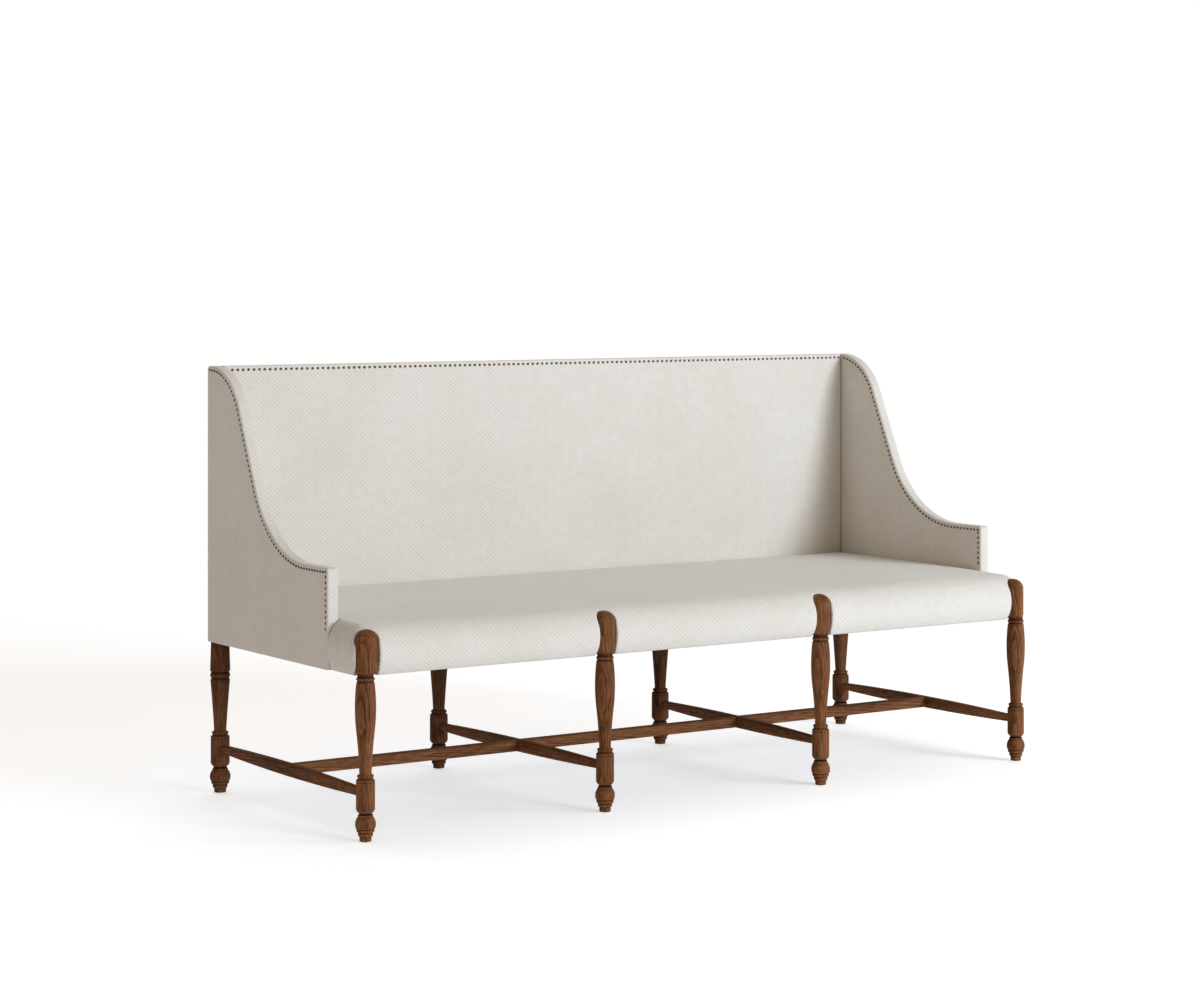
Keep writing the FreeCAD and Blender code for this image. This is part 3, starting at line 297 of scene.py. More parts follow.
# Darkened and rubbed: brown domes, each with one small soft highlight.
bronze = mottled("antique_bronze", "#4C3D31", "#7E6955", 3.0, 0.32, metallic=1.0)
HIDDEN = {
    # pale and matt, streaked along the rail
    "frame_wood": mottled("planed_beech", "#B98A5C", "#D3AB7C", 4.0, 0.6, stretch=(0.1, 1, 1)),
    # paler and drier than the rails, streaked up the board
    "plywood": mottled("birch_plywood", "#B9946A", "#D2B28A", 5.0, 0.65, stretch=(1, 1, 0.15)),
    # pressed fibres: even, dark brown
    "hardboard": mottled("hardboard", "#4F3622", "#6B4B31", 2.0, 0.7),
    # fluffy, with no gloss at all
    "felt": mottled("polyester_felt", "#C9C6BD", "#E2DFD7", 6.0, 0.95, bump=0.5),
    # rubber threads in black yarn, ribbed along the strap
    "webbing": mottled("elastic_strap", "#1E1C1B", "#37332F", 2.5, 0.85, stretch=(1, 0.2, 1)),
    # thin bonded fibres, dull black
    "dust_cloth": mottled("black_lining", "#141414", "#262525", 3.0, 0.95, bump=0.4),
    # bright grey with a slight bloom
    "screw_steel": mottled("zinc_plate", "#8E908F", "#B4B5B2", 4.0, 0.35, metallic=1.0),
    # smooth and waxy
    "glide_nylon": mottled("moulded_nylon", "#3A342E", "#4B443D", 5.0, 0.5),
}
slot_of = {entry["node"]: entry["material_slot"] for entry in frame["record"]["subparts"]}
for name, node in frame["nodes"].items():
    if slot_of[name] in HIDDEN:
        node.data.materials.clear()
        node.data.materials.append(HIDDEN[slot_of[name]])
print("hidden materials:", ", ".join(HIDDEN))

# %% [markdown]
# ## From grids to pieces
# Every new piece is a grid of points worked out at once: a profile carried along a path. The path
# gives the rows, the profile gives the columns. Quads join neighbours, a closed profile joins its
# last column to its first, and one face closes each end. Where the cloth turns a seam, a column is
# doubled so that the weave can start afresh there, and merging points afterwards heals the joint.

# %% Grids
def grid_part(grid, uv=None, ring=False, ends=False):
    """Points, faces and face-corner UVs of a grid (rows, columns, 3) in millimetres."""
    rows, columns = grid.shape[:2]
    numbers = np.arange(rows * columns).reshape(rows, columns)
    if ring:
        numbers = np.concatenate([numbers, numbers[:, :1]], axis=1)
    if uv is None:
        uv = np.zeros((*numbers.shape, 2))

    def corners(table):
        return np.stack([table[:-1, :-1], table[1:, :-1], table[1:, 1:], table[:-1, 1:]], axis=2)

    faces = corners(numbers).reshape(-1, 4).tolist()
    face_uv = [corners(uv).reshape(-1, 2)]
    if ends:
        faces += [numbers[0, :columns].tolist(), numbers[-1, :columns][::-1].tolist()]
        face_uv += [uv[0, :columns], uv[-1, :columns][::-1]]
    return grid.reshape(-1, 3), faces, np.concatenate(face_uv)


print("a ring of 3 rows and 8 columns:", len(grid_part(np.zeros((3, 8, 3)), ring=True)[1]), "faces")

# %% One mesh from grids
MERGE_WITHIN = 1e-6
MOST_CORNERS = 12


def joined(name, parts):
    """One mesh from grid parts: points merged, faces outwards, big end faces cut into triangles,
    all smooth."""
    points, faces, uvs, start = [], [], [], 0
    for part_points, part_faces, part_uv in parts:
        points.append(part_points)
        faces += [[start + corner for corner in face] for face in part_faces]
        uvs.append(part_uv)
        start += len(part_points)
    mesh = bpy.data.meshes.new(name)
    mesh.from_pydata((np.concatenate(points) * MM).tolist(), [], faces)
    layer = mesh.uv_layers.new(name="cloth")
    layer.uv.foreach_set("vector", (np.concatenate(uvs) * MM).astype(np.float32).ravel())
    work = bmesh.new()
    work.from_mesh(mesh)
    bmesh.ops.remove_doubles(work, verts=work.verts, dist=MERGE_WITHIN)
    bmesh.ops.recalc_face_normals(work, faces=work.faces)
    big_faces = [face for face in work.faces if len(face.verts) > MOST_CORNERS]
    bmesh.ops.triangulate(work, faces=big_faces)
    work.to_mesh(mesh)
    work.free()
    mesh.shade_smooth()
    return mesh


print("points closer than", MERGE_WITHIN / MM, "mm become one")

# %% Dress a piece
def build(name, parts, material, nodes, sharp=35):
    """One dressed object from grid parts, with edges over the sharp angle kept sharp."""
    mesh = joined(name, parts)
    mesh.set_sharp_from_angle(angle=math.radians(sharp))
    return dress(bpy.data.objects.new(name, mesh), material, nodes)


def dress(piece, material, nodes):
    """Link a piece, give it its finish, let it ride, and hide the nodes that it stands for."""
    scene.collection.objects.link(piece)
    piece.data.materials.append(material)
    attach(piece, "root")
    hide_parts(*nodes)
    print(f"{piece.name}: {len(piece.data.polygons)} faces")
    return piece


def positions(mesh):
    """Points of a mesh in millimetres."""
    flat = np.empty(len(mesh.vertices) * 3, np.float32)
    mesh.vertices.foreach_get("co", flat)
    return flat.reshape(-1, 3).astype(float) / MM


def mark(piece, name, values):
    """Store one value for each point, as an attribute that a material reads."""
    marks = piece.data.attributes.new(name, "FLOAT", "POINT")
    marks.data.foreach_set("value", values.astype(np.float32))


# %% [markdown]
# ## Legs
# Each leg is turned on a lathe: a foot, two rings, a ball, a round block that takes the stretcher,
# and a vase above it. The front ones carry a domed post over the seat's front. On screen a turning
# is its profile spun round its axis. The rings and hollows are shallow arcs, which a parabola draws
# well enough.

# %% Profiles of the legs
SEAT_BOTTOM = 351.0


def bow(start, finish, rise=0.0, steps=10):
    """Points of a shallow arc: the chord plus 4 t (1 - t) times the rise, to the right of the way
    along."""
    t = np.linspace(0, 1, steps + 1)[:, None]
    start, finish = np.array(start, float), np.array(finish, float)
    chord = finish - start
    aside = np.array([chord[1], -chord[0]]) / np.hypot(*chord)
    return start + t * chord + 4 * t * (1 - t) * rise * aside


FOOT = np.vstack([
    # pad, and two rings with a groove under each
    bow((0, 1), (12.4, 1), 0, 2), bow((12.7, 1.4), (13, 9.4), 0, 2),
    bow((11.7, 10), (11.7, 10.8), 0, 2), bow((14.8, 11.3), (15.7, 18.2), 0.9, 6),
    bow((13.7, 18.8), (13.9, 19.6), 0, 2), bow((17.8, 20.2), (19.2, 26), 0.8, 6),
    # ball, with a fine ring on it
    bow((17.3, 26.6), (17.6, 27.4), 0, 2), bow((20.6, 28.2), (17, 52.4), 3.2, 18),
    bow((15.4, 53.2), (15.4, 57.4), 1.1, 6), bow((13.8, 58.2), (14, 60.4), 0, 2),
    # round block for the stretcher, and the rings above it
    bow((14, 60.4), (20.3, 68.6), 0.8, 6), bow((20.3, 68.6), (20.3, 125.4), 0, 6),
    bow((19.2, 126.2), (19.0, 132), 1.2, 6), bow((16.8, 132.8), (16.8, 136), -0.4, 4),
    bow((17.0, 136.8), (17.0, 141.8), 1.0, 6), bow((13.6, 142.6), (13.2, 145), 0, 3)])
FRONT_SPINDLE = np.vstack([
    FOOT, bow((13.2, 147), (19.9, 235), -0.9, 20), bow((19.9, 235), (19.6, 337), 2.95, 24),
    bow((17.5, 341.5), (17.5, 349.5), 2.46), bow((17.5, 350), (17.5, 372), 0, 2), [[0, 372]]])
REAR_STOUT = np.array([1.08, 1.0])
REAR_SPINDLE = REAR_STOUT * np.vstack([
    FOOT, bow((13.2, 147), (21, 262), -0.4, 16), bow((19, 267), (19, 280), 2.5),
    bow((21.6, 284), (19.8, SEAT_BOTTOM), 0, 6), [[0, SEAT_BOTTOM]]])
print("profiles:", len(FRONT_SPINDLE), "points for a front leg,", len(REAR_SPINDLE), "for a rear")

# %% Grooves and turnings
GROOVE_REACH, GROOVE_FULL = 6.0, 2.6


def depth_of_grooves(profile, height):
    """How deep a groove is at each height, from 0 to 1: the smaller of the largest radii within the
    reach below and above, less the radius there, over the deepest that counts. Long hollows are
    wider than the reach, so only narrow grooves count."""
    way, order = profile[:, 1], np.argsort(profile[:, 1], kind="stable")
    reach = np.linspace(-GROOVE_REACH, GROOVE_REACH, 13)[:, None]
    radius = np.interp(height + reach, way[order], profile[order, 0])
    lower = np.minimum(radius[:6].max(axis=0), radius[7:].max(axis=0)) - radius[6]
    return (lower / GROOVE_FULL).clip(0, 1)


def turning(profile, x, y, segments=56):
    """Spin (radius, height) points: x + r cos a, y + r sin a, z over a full turn of a."""
    turn = np.linspace(0, 2 * math.pi, segments, endpoint=False)
    radius, height = profile[:, :1], profile[:, 1:]
    around_x, around_y = x + radius * np.cos(turn), y + radius * np.sin(turn)
    return grid_part(np.stack([around_x, around_y, height + 0 * turn], axis=2), ring=True)


deepest = depth_of_grooves(FOOT, FOOT[:, 1]).max()
print("deepest groove of the foot:", round(float(deepest), 2), "of the full stain")

# %% Eight legs
END_LEG, FRONT_MIDDLE, REAR_MIDDLE = 918.0, 306.0, 329.0
FRONT_LEGS, REAR_LEGS = -348.0, 348.8
POST_OFFSET, POST_RADIUS, POST_DOME = 4.5, 25.4, 24.4
POST_START, POST_TOP = 356.5, 450.0
HEEL_IN, HEEL_HIGH, HEEL_BOW = 5.0, 7.0, 1.6
LEG_SHARP = 30


def post_profile():
    """Heel, straight side and dome: the top edge is a quarter circle of the dome's radius."""
    rise = np.linspace(0, math.pi / 2, 14)
    flat = POST_RADIUS - POST_DOME
    dome = np.stack([flat + POST_DOME * np.cos(rise),
                     POST_TOP - POST_DOME + POST_DOME * np.sin(rise)], axis=1)
    heel = bow((POST_RADIUS - HEEL_IN, POST_START), (POST_RADIUS, POST_START + HEEL_HIGH),
               HEEL_BOW, 8)
    return np.vstack([[[0, POST_START]], heel, bow(heel[-1], dome[0], 0, 8), dome, [[0, POST_TOP]]])


front_places = [(-END_LEG, POST_OFFSET), (-FRONT_MIDDLE, 0),
                (FRONT_MIDDLE, 0), (END_LEG, -POST_OFFSET)]
POSTS = [(x + inward, FRONT_LEGS + POST_OFFSET) for x, inward in front_places]
for index, ((x, _), post) in enumerate(zip(front_places, POSTS), start=1):
    parts = [turning(FRONT_SPINDLE, x, FRONT_LEGS), turning(post_profile(), *post)]
    piece = build(f"turned_front_leg_{index}", parts, upright_wood,
                  [f"front_leg_{index}"], sharp=LEG_SHARP)
    whole = np.vstack([FRONT_SPINDLE[FRONT_SPINDLE[:, 1] < POST_START], post_profile()[1:-1]])
    mark(piece, "groove", depth_of_grooves(whole, positions(piece.data)[:, 2]))
# The rear legs take the darker copy of the wood, painted shade for the seat's shadow over them.
for index, x in enumerate((-END_LEG, -REAR_MIDDLE, REAR_MIDDLE, END_LEG), start=1):
    piece = build(f"turned_rear_leg_{index}", [turning(REAR_SPINDLE, x, REAR_LEGS)], rear_wood_in_painted_shade,
                  [f"rear_leg_{index}"], sharp=LEG_SHARP)
    mark(piece, "groove", depth_of_grooves(REAR_SPINDLE, positions(piece.data)[:, 2]))
print("grooves: marked on", len(front_places) * 2, "legs")

# %% [markdown]
# ## Stretchers
# The stretchers are bars planed fuller at the middle and softened along their edges. A superellipse
# is a handy profile for that: a square whose corners are rounded by one exponent. The long one lies
# a hair lower than the four that it passes, so the two tops never fight for the same place.

# %% Stretchers
STRETCHER_LEVEL = 103.0
BAR_ENDS = (15.0, 17.0)
BAR_MIDDLE = (22.0, 28.0)
CENTRE_BAR = (27.0, 27.0)


def bar(start, finish, middle, ends, soft, rows=40, columns=40):
    """A superellipse carried from start to finish: half width times sign(cos a) |cos a|^(2/soft),
    the same with sin for the height, and both sizes fall off from the middle with the square of the
    way to the end."""
    start, finish = np.array(start, float), np.array(finish, float)
    along = np.linspace(0, 1, rows)[:, None]
    fall = (2 * along - 1) ** 2
    wide = middle[0] + (ends[0] - middle[0]) * fall
    high = middle[1] + (ends[1] - middle[1]) * fall
    turn = np.linspace(0, 2 * math.pi, columns, endpoint=False) + math.pi / columns
    across = np.sign(np.cos(turn)) * np.abs(np.cos(turn)) ** (2 / soft) * wide / 2
    up = np.sign(np.sin(turn)) * np.abs(np.sin(turn)) ** (2 / soft) * high / 2
    way = (finish - start) / np.linalg.norm(finish - start)
    side = np.array([way[1], -way[0]])
    plan = (start + along * (finish - start))[:, None, :] + across[:, :, None] * side
    grid = np.concatenate([plan, (STRETCHER_LEVEL + up)[:, :, None]], axis=2)
    return grid_part(grid, ring=True, ends=True)


HOLD = 10.0
CENTRE_LINE = 0.4
CROSS_SOFT, CENTRE_SOFT = 5.0, 3.6
leg_pairs = [(-END_LEG, -END_LEG), (-FRONT_MIDDLE, -REAR_MIDDLE),
             (FRONT_MIDDLE, REAR_MIDDLE), (END_LEG, END_LEG)]
for index, (front_x, rear_x) in enumerate(leg_pairs, start=1):
    cross_bar = bar((front_x, FRONT_LEGS + HOLD), (rear_x, REAR_LEGS - HOLD),
                    BAR_MIDDLE, BAR_ENDS, CROSS_SOFT)
    build(f"swelled_stretcher_{index}", [cross_bar], depth_wood,
          [f"cross_stretcher_{index}"])
long_bar = bar((-END_LEG, CENTRE_LINE), (END_LEG, CENTRE_LINE), CENTRE_BAR, CENTRE_BAR,
               CENTRE_SOFT, rows=60)
build("long_stretcher", [long_bar], length_wood, ["centre_stretcher"])

# %% [markdown]
# ## Wings
# A wing is a shaped board with felt and cloth on both faces and a strip of cloth round its edge.
# Seen from the end its outline is a flat top, a round, a straight slope, a hollow and a level arm.
# The piece carries one profile along that outline: up the outer face, over the edge and down the
# inner face, with soft corners and a shallow groove where the nails draw the cloth in.

# %% Outline of a wing
HEIGHT, ARM = 992.0, 571.0
WING_OUT, WING_IN, WING_FRONT, WING_REAR = 941.0, 914.0, -221.0, 367.0
SLOPE = math.radians(65)
ROUND, HOLLOW, ARM_CORNER = 160.0, 260.0, 6.0
SLOPE_FOOT = 53.0
REAR_ROUND = 4.8


def wing_edge(step):
    """Points (y, z) about step apart along the edge, their outward normals and their distance along
    it. Straights and arcs are laid out densely, then resampled evenly by distance, closer at the
    rear corner."""
    top_y = SLOPE_FOOT + (HEIGHT - ARM) / math.tan(SLOPE) + ROUND * math.tan(SLOPE / 2)
    arm_y = SLOPE_FOOT - HOLLOW * math.tan(SLOPE / 2)
    over = np.linspace(math.pi / 2, math.pi / 2 + SLOPE, 200)
    under = np.linspace(SLOPE - math.pi / 2, -math.pi / 2, 200)
    corner = np.linspace(math.pi / 2, math.pi, 30)
    dense = np.vstack([
        bow((WING_REAR, HEIGHT), (top_y, HEIGHT), 0, 40),
        np.stack([top_y + ROUND * np.cos(over), HEIGHT - ROUND + ROUND * np.sin(over)], axis=1),
        np.stack([arm_y + HOLLOW * np.cos(under), ARM + HOLLOW + HOLLOW * np.sin(under)], axis=1),
        np.stack([WING_FRONT + ARM_CORNER + ARM_CORNER * np.cos(corner),
                  ARM - ARM_CORNER + ARM_CORNER * np.sin(corner)], axis=1),
        bow((WING_FRONT, ARM - ARM_CORNER), (WING_FRONT, SEAT_BOTTOM), 0, 80)])
    gaps = np.hypot(*np.diff(dense, axis=0).T)
    kept = np.concatenate([[True], gaps > 1e-6])
    dense = dense[kept]
    way = np.concatenate([[0], np.cumsum(np.hypot(*np.diff(dense, axis=0).T))])
    rear = REAR_ROUND * (1 - np.cos(np.linspace(0, math.pi / 2, 7)))
    even = np.linspace(0, way[-1], round(way[-1] / step) + 1)
    even = np.concatenate([rear, even[even > REAR_ROUND + 1]])
    points = np.stack([np.interp(even, way, line) for line in dense.T], axis=1)
    tangent = np.gradient(points, axis=0)
    tangent /= np.linalg.norm(tangent, axis=1)[:, None]
    return points, np.stack([tangent[:, 1], -tangent[:, 0]], axis=1), even


EDGE_STEP = 2.5
edge_points, edge_normals, edge_way = wing_edge(EDGE_STEP)
print("wing edge:", len(edge_points), "points over", round(edge_way[-1]), "mm")

# %% Wing covers
NAIL_INSET, WING_PITCH, BACK_PITCH = 9.5, 12.6, 14.0
SOFT_CORNER = 4.5
GROOVE, GROOVE_WIDE, NAIL_PULL = 1.0, 2.2, 0.45
FACE_CROWN, CROWN_RUN = 1.6, 45.0
RIM, CORNER_REACH = 16.0, 20.0
INSIDE_FOOT, FOOT_INSET = 428.0, 36.0
COVER_SHARP = 50


def wing_cover(side):
    """Carry the profile along the edge. Near the edge a point is edge - inset * normal, or at the
    arm's corner a share of the way to a common centre, so that lines never cross; further in it
    slides straight to a foot line. At the rear the top falls off by a quarter circle. The face
    swells by crown times (1 - exp(-d / run)) for the distance d from each border, and sinks by a
    bell curve in the nails' groove."""
    count = len(edge_points)
    share = np.linspace(0, 1, count)[:, None]
    bend = np.linspace(0, math.pi / 2, 7)
    flat = np.linspace(RIM, SOFT_CORNER, 12)
    insets = np.concatenate([flat, SOFT_CORNER * (1 - np.sin(bend[1:]))])
    sunk = np.concatenate([0 * flat, SOFT_CORNER * (1 - np.cos(bend[1:]))])
    nail_wave = 1 + NAIL_PULL * np.cos(2 * math.pi * edge_way[:, None] / WING_PITCH)
    groove = GROOVE * nail_wave * np.exp(-((insets - NAIL_INSET) / GROOVE_WIDE) ** 2)
    rim_plan = edge_points[:, None, :] - insets[None, :, None] * edge_normals[:, None, :]
    centre = np.array([WING_FRONT + CORNER_REACH, ARM - CORNER_REACH])
    at_corner = (edge_points[:, 0] < centre[0]) & (edge_points[:, 1] > centre[1])
    rim_plan[at_corner] = edge_points[at_corner, None] + (
        insets[None, :, None] / CORNER_REACH * (centre - edge_points[at_corner])[:, None])
    behind = (edge_points[:, :1] - WING_REAR + REAR_ROUND).clip(0, REAR_ROUND)
    rim_plan[:, :, 1] -= (REAR_ROUND - np.sqrt(REAR_ROUND ** 2 - behind ** 2)) * (1 - insets / RIM)
    fan = np.linspace(1, 0, 26)[:, None, None]

    def face(foot_level, outward):
        """One face from its foot up to the edge, as (x, y, z) and its (y, z) cloth map."""
        foot_y = WING_REAR + share * (WING_FRONT + FOOT_INSET - WING_REAR)
        foot = np.concatenate([foot_y, 0 * share + foot_level], axis=1)
        start = rim_plan[:, 0]
        inner = (start[None] + fan[:-1] * (foot - start)[None]).transpose(1, 0, 2)
        # The inside face is shorter, so its last column would crowd the rim.
        inner = inner[:, :-1] if foot_level > SEAT_BOTTOM else inner
        gap = np.linalg.norm(inner - start[:, None], axis=2)
        gaps = np.stack([gap, WING_REAR - inner[:, :, 0], inner[:, :, 1] - foot_level]).clip(0)
        crown = FACE_CROWN * np.prod(1 - np.exp(-gaps / CROWN_RUN), axis=0)
        plan = np.concatenate([inner, rim_plan], axis=1)
        depth = np.concatenate([crown, -groove - sunk], axis=1)
        plane = WING_OUT if outward > 0 else WING_IN
        return np.concatenate([(side * (plane + outward * depth))[:, :, None], plan], axis=2), plan

    outer, outer_map = face(SEAT_BOTTOM, 1)
    inner, inner_map = face(INSIDE_FOOT, -1)
    inner, inner_map = inner[:, ::-1], inner_map[:, ::-1]
    strip = np.linspace(0, 1, 6)[None, :, None]
    band = outer[:, -1:] + strip * (inner[:, :1] - outer[:, -1:])
    across = np.linalg.norm(band - band[:, :1], axis=2)
    band_map = np.stack([across, edge_way[:, None] + 0 * across], axis=2)
    grid = np.concatenate([outer, band, inner], axis=1)
    cloth_map = np.concatenate([outer_map, band_map, inner_map, outer_map[:, :1]], axis=1)
    return grid_part(grid, cloth_map, ring=True, ends=True)


for name, side in (("left", -1), ("right", 1)):
    piece = build(f"{name}_wing", [wing_cover(side)], cloth,
                  [f"{name}_outside_wing_cover", f"{name}_inside_wing_cover", f"{name}_wing_band"],
                  sharp=COVER_SHARP)

# %% [markdown]
# ## Back
# The inside of the back is a flat panel between the wings: cloth over thin felt, tucked into the
# corners at its sides and behind the seat, and nailed along its top edge. Its profile goes up the
# front, over the top and down again behind, and is carried along the length. A second, plainer
# panel closes the rear.

# %% Inside back
BACK_IN, BACK_REAR, BACK_TUCK = 340.0, 367.0, 426.0
BACK_CROWN, SIDE_RUN, TOP_RUN = 3.0, 60.0, 50.0
SIDE_PLAY, CLOSE_ROWS, NEAR_TOP, REAR_DROP = 0.5, 24.0, 30.0, 10.0
# The last of these is how far from a wing the painted shade of the tuck reaches.
TUCK_DEPTH, TUCK_RUN, PAINTED_SHADE_REACH = 1.3, 3.6, 3.0
TOP_CORNER, SETBACK = 4.0, 2.0


def inside_back():
    """Carry a front-over-top profile along x. The front swells by crown * (1 - exp(-d / run)) with
    the distance d from each border, and falls into the side corners by tuck * exp(-(d / run)
    squared)."""
    half = WING_IN - SIDE_PLAY
    close = np.linspace(half - CLOSE_ROWS, half, 13)
    x = np.concatenate([-close[:0:-1], np.linspace(-close[0], close[0], 510), close[1:]])[:, None]
    bend = np.linspace(0, math.pi / 2, 7)
    levels = np.concatenate([np.linspace(BACK_TUCK, HEIGHT - NEAR_TOP, 40),
                             np.linspace(HEIGHT - NEAR_TOP + 1, HEIGHT - TOP_CORNER, 16)])
    side_gap = half - np.abs(x)
    below = HEIGHT - NAIL_INSET - levels
    crown = (1 - np.exp(-side_gap / SIDE_RUN)) * (1 - np.exp(-below.clip(0) / TOP_RUN))
    nail_wave = 1 + NAIL_PULL * np.cos(2 * math.pi * x / BACK_PITCH)
    groove = GROOVE * nail_wave * np.exp(-(below / GROOVE_WIDE) ** 2)
    tuck = TUCK_DEPTH * np.exp(-(side_gap / TUCK_RUN) ** 2)
    front = BACK_IN - BACK_CROWN * crown + groove + tuck
    blank = np.zeros_like(x)
    turn_y = BACK_IN + TOP_CORNER * (1 - np.cos(bend[1:])) + tuck
    turn_z = HEIGHT - TOP_CORNER + TOP_CORNER * np.sin(bend[1:])
    rear_y = WING_REAR - REAR_ROUND + REAR_ROUND * np.sin(bend)
    rear_z = HEIGHT - REAR_ROUND + REAR_ROUND * np.cos(bend)
    rear_face = WING_REAR - SETBACK
    closing = np.array([[rear_face, HEIGHT - REAR_DROP], [rear_face, BACK_TUCK]])
    y = np.concatenate([front, turn_y, rear_y + blank, closing[:, 0] + blank], axis=1)
    z = np.concatenate([levels, turn_z, rear_z, closing[:, 1]]) + blank
    grid = np.stack([x + 0 * y, y, z], axis=2)
    walk = np.hypot(np.diff(y[:1], axis=1), np.diff(z[:1], axis=1)).cumsum()
    run = np.concatenate([[0], walk, [walk[-1] + WING_REAR - BACK_IN]])[None] + blank
    return grid_part(grid, np.stack([x + 0 * run, run], axis=2), ring=True, ends=True)


piece = build("inside_back", [inside_back()], cloth,
              ["inside_back_cover", "back_top_band"], sharp=COVER_SHARP)
from_wing = WING_IN - np.abs(positions(piece.data)[:, 0])
# Painted shade: points within a few millimetres of a wing are marked for the tuck's dark hairline.
mark(piece, "tuck", np.exp(-(from_wing / PAINTED_SHADE_REACH) ** 2))

# %% Outside back
REAR_HALF, REAR_TOP = 940.0, 985.0
PANEL_THICK, REAR_CROWN, REAR_RUN, EDGE_RUN = 2.2, 1.4, 60.0, 1.5
# The hidden face takes its weave from far off, so that the two faces share no patch of the map.
MAP_APART = 2000


def outside_back():
    """A thin panel with round edges, carried along x: a flat rear face that swells a little, and a
    flat front one."""
    x = np.linspace(-REAR_HALF, REAR_HALF, 160)[:, None]
    bend = np.linspace(-math.pi / 2, math.pi / 2, 9)
    round_size = PANEL_THICK / 2
    levels = np.linspace(SEAT_BOTTOM + round_size, REAR_TOP - round_size, 60)
    side_gap = REAR_HALF - np.abs(x)
    high_gap = np.minimum(levels - SEAT_BOTTOM, REAR_TOP - levels)
    crown = (1 - np.exp(-side_gap / REAR_RUN)) * (1 - np.exp(-high_gap / REAR_RUN))
    round_in = round_size * np.exp(-(side_gap / EDGE_RUN) ** 2)
    middle = BACK_REAR - round_size
    rear = middle + round_size + REAR_CROWN * crown - round_in
    front = middle - round_size + 0 * crown
    over_y, under_y = middle - round_size * np.sin(bend), middle + round_size * np.sin(bend)
    over_z, under_z = (levels[-1] + round_size * np.cos(bend),
                       levels[0] - round_size * np.cos(bend))
    blank = 0 * x
    y = np.concatenate([rear, over_y[1:-1] + blank, front[:, ::-1], under_y[1:-1] + blank], axis=1)
    z = np.concatenate([levels, over_z[1:-1], levels[::-1], under_z[1:-1]]) + blank
    cloth_map = np.stack([x + 0 * y, z + (y < middle) * MAP_APART], axis=2)
    cloth_map = np.concatenate([cloth_map, cloth_map[:, :1]], axis=1)
    return grid_part(np.stack([x + 0 * y, y, z], axis=2), cloth_map, ring=True, ends=True)


piece = build("outside_back", [outside_back()], cloth,
              ["outside_back_cover"], sharp=COVER_SHARP)

# %% [markdown]
# ## Nails
# The nails stand in one row along the back's top edge and one row along each face of each wing,
# about 13 mm apart. A head is a low dome; hundreds of them need only a few faces each. All heads of
# a row are made in one go by adding the dome's points to every place.

# %% Heads
HEAD_RISE = 2.6


def domes(places, outward, radius):
    """Heads at places (n, 3) facing along outward: rings of radius times sin t at height rise * cos
    t."""
    outward = np.array(outward, float)
    side = np.cross(outward, [0, 0, 1])
    up = np.cross(side, outward)
    turn = np.linspace(0, 2 * math.pi, 10, endpoint=False)
    ring_tilt = np.radians([102, 90, 62, 30])[:, None]
    wide, lift = radius * np.sin(ring_tilt), HEAD_RISE * np.cos(ring_tilt)
    rings = np.stack([wide * np.cos(turn), wide * np.sin(turn), lift + 0 * turn], axis=2)
    rings = rings.reshape(-1, 3)
    local = np.vstack([rings @ np.stack([side, up, outward]), HEAD_RISE * outward])
    rows = np.arange(len(rings)).reshape(len(ring_tilt), len(turn))
    rows = np.concatenate([rows, rows[:, :1]], axis=1)
    quads = np.stack([rows[:-1, :-1], rows[:-1, 1:], rows[1:, 1:], rows[1:, :-1]], axis=2)
    quads = quads.reshape(-1, 4)
    cap = np.stack([rows[-1, :-1], rows[-1, 1:], 0 * rows[-1, 1:] + len(rings)], axis=1)
    base = rows[0, :-1][::-1]
    offsets = len(local) * np.arange(len(places))[:, None, None]
    faces = (quads + offsets).reshape(-1, 4).tolist() + (cap + offsets).reshape(-1, 3).tolist()
    faces += (base + offsets[:, :, 0]).tolist()
    points = (places[:, None, :] + local).reshape(-1, 3)
    return points, faces, np.zeros((sum(map(len, faces)), 2))


print("one head:", len(domes(np.zeros((1, 3)), (0, -1, 0), 1.0)[1]), "faces")

# %% Rows of nails
WING_HEAD, BACK_HEAD = 3.5, 3.7
OUTER_NAIL_END, INNER_NAIL_END = 437.0, 476.0
FRONT_RUN, SLIP = 40.0, 0.01
NAIL_SHARP = 80


def nail_line(x, start_y, low_end):
    """Even places along the edge taken in by the nails' inset, from start_y at the top to low_end
    in front."""
    line = edge_points - NAIL_INSET * edge_normals
    above = (line[:, 1] >= low_end) | (line[:, 0] > WING_FRONT + FRONT_RUN)
    corner = np.array([WING_FRONT + NAIL_INSET, ARM - NAIL_INSET])
    behind = (line[:, 0] >= corner[0] - SLIP) & (line[:, 1] <= HEIGHT - NAIL_INSET + SLIP)
    line = line[(line[:, 0] <= start_y) & above & behind]
    way = np.concatenate([[0], np.cumsum(np.hypot(*np.diff(line, axis=0).T))])
    even = np.linspace(0, way[-1], round(way[-1] / WING_PITCH) + 1)
    y, z = np.interp(even, way, line[:, 0]), np.interp(even, way, line[:, 1])
    return np.stack([x + 0 * y, y, z], axis=1)


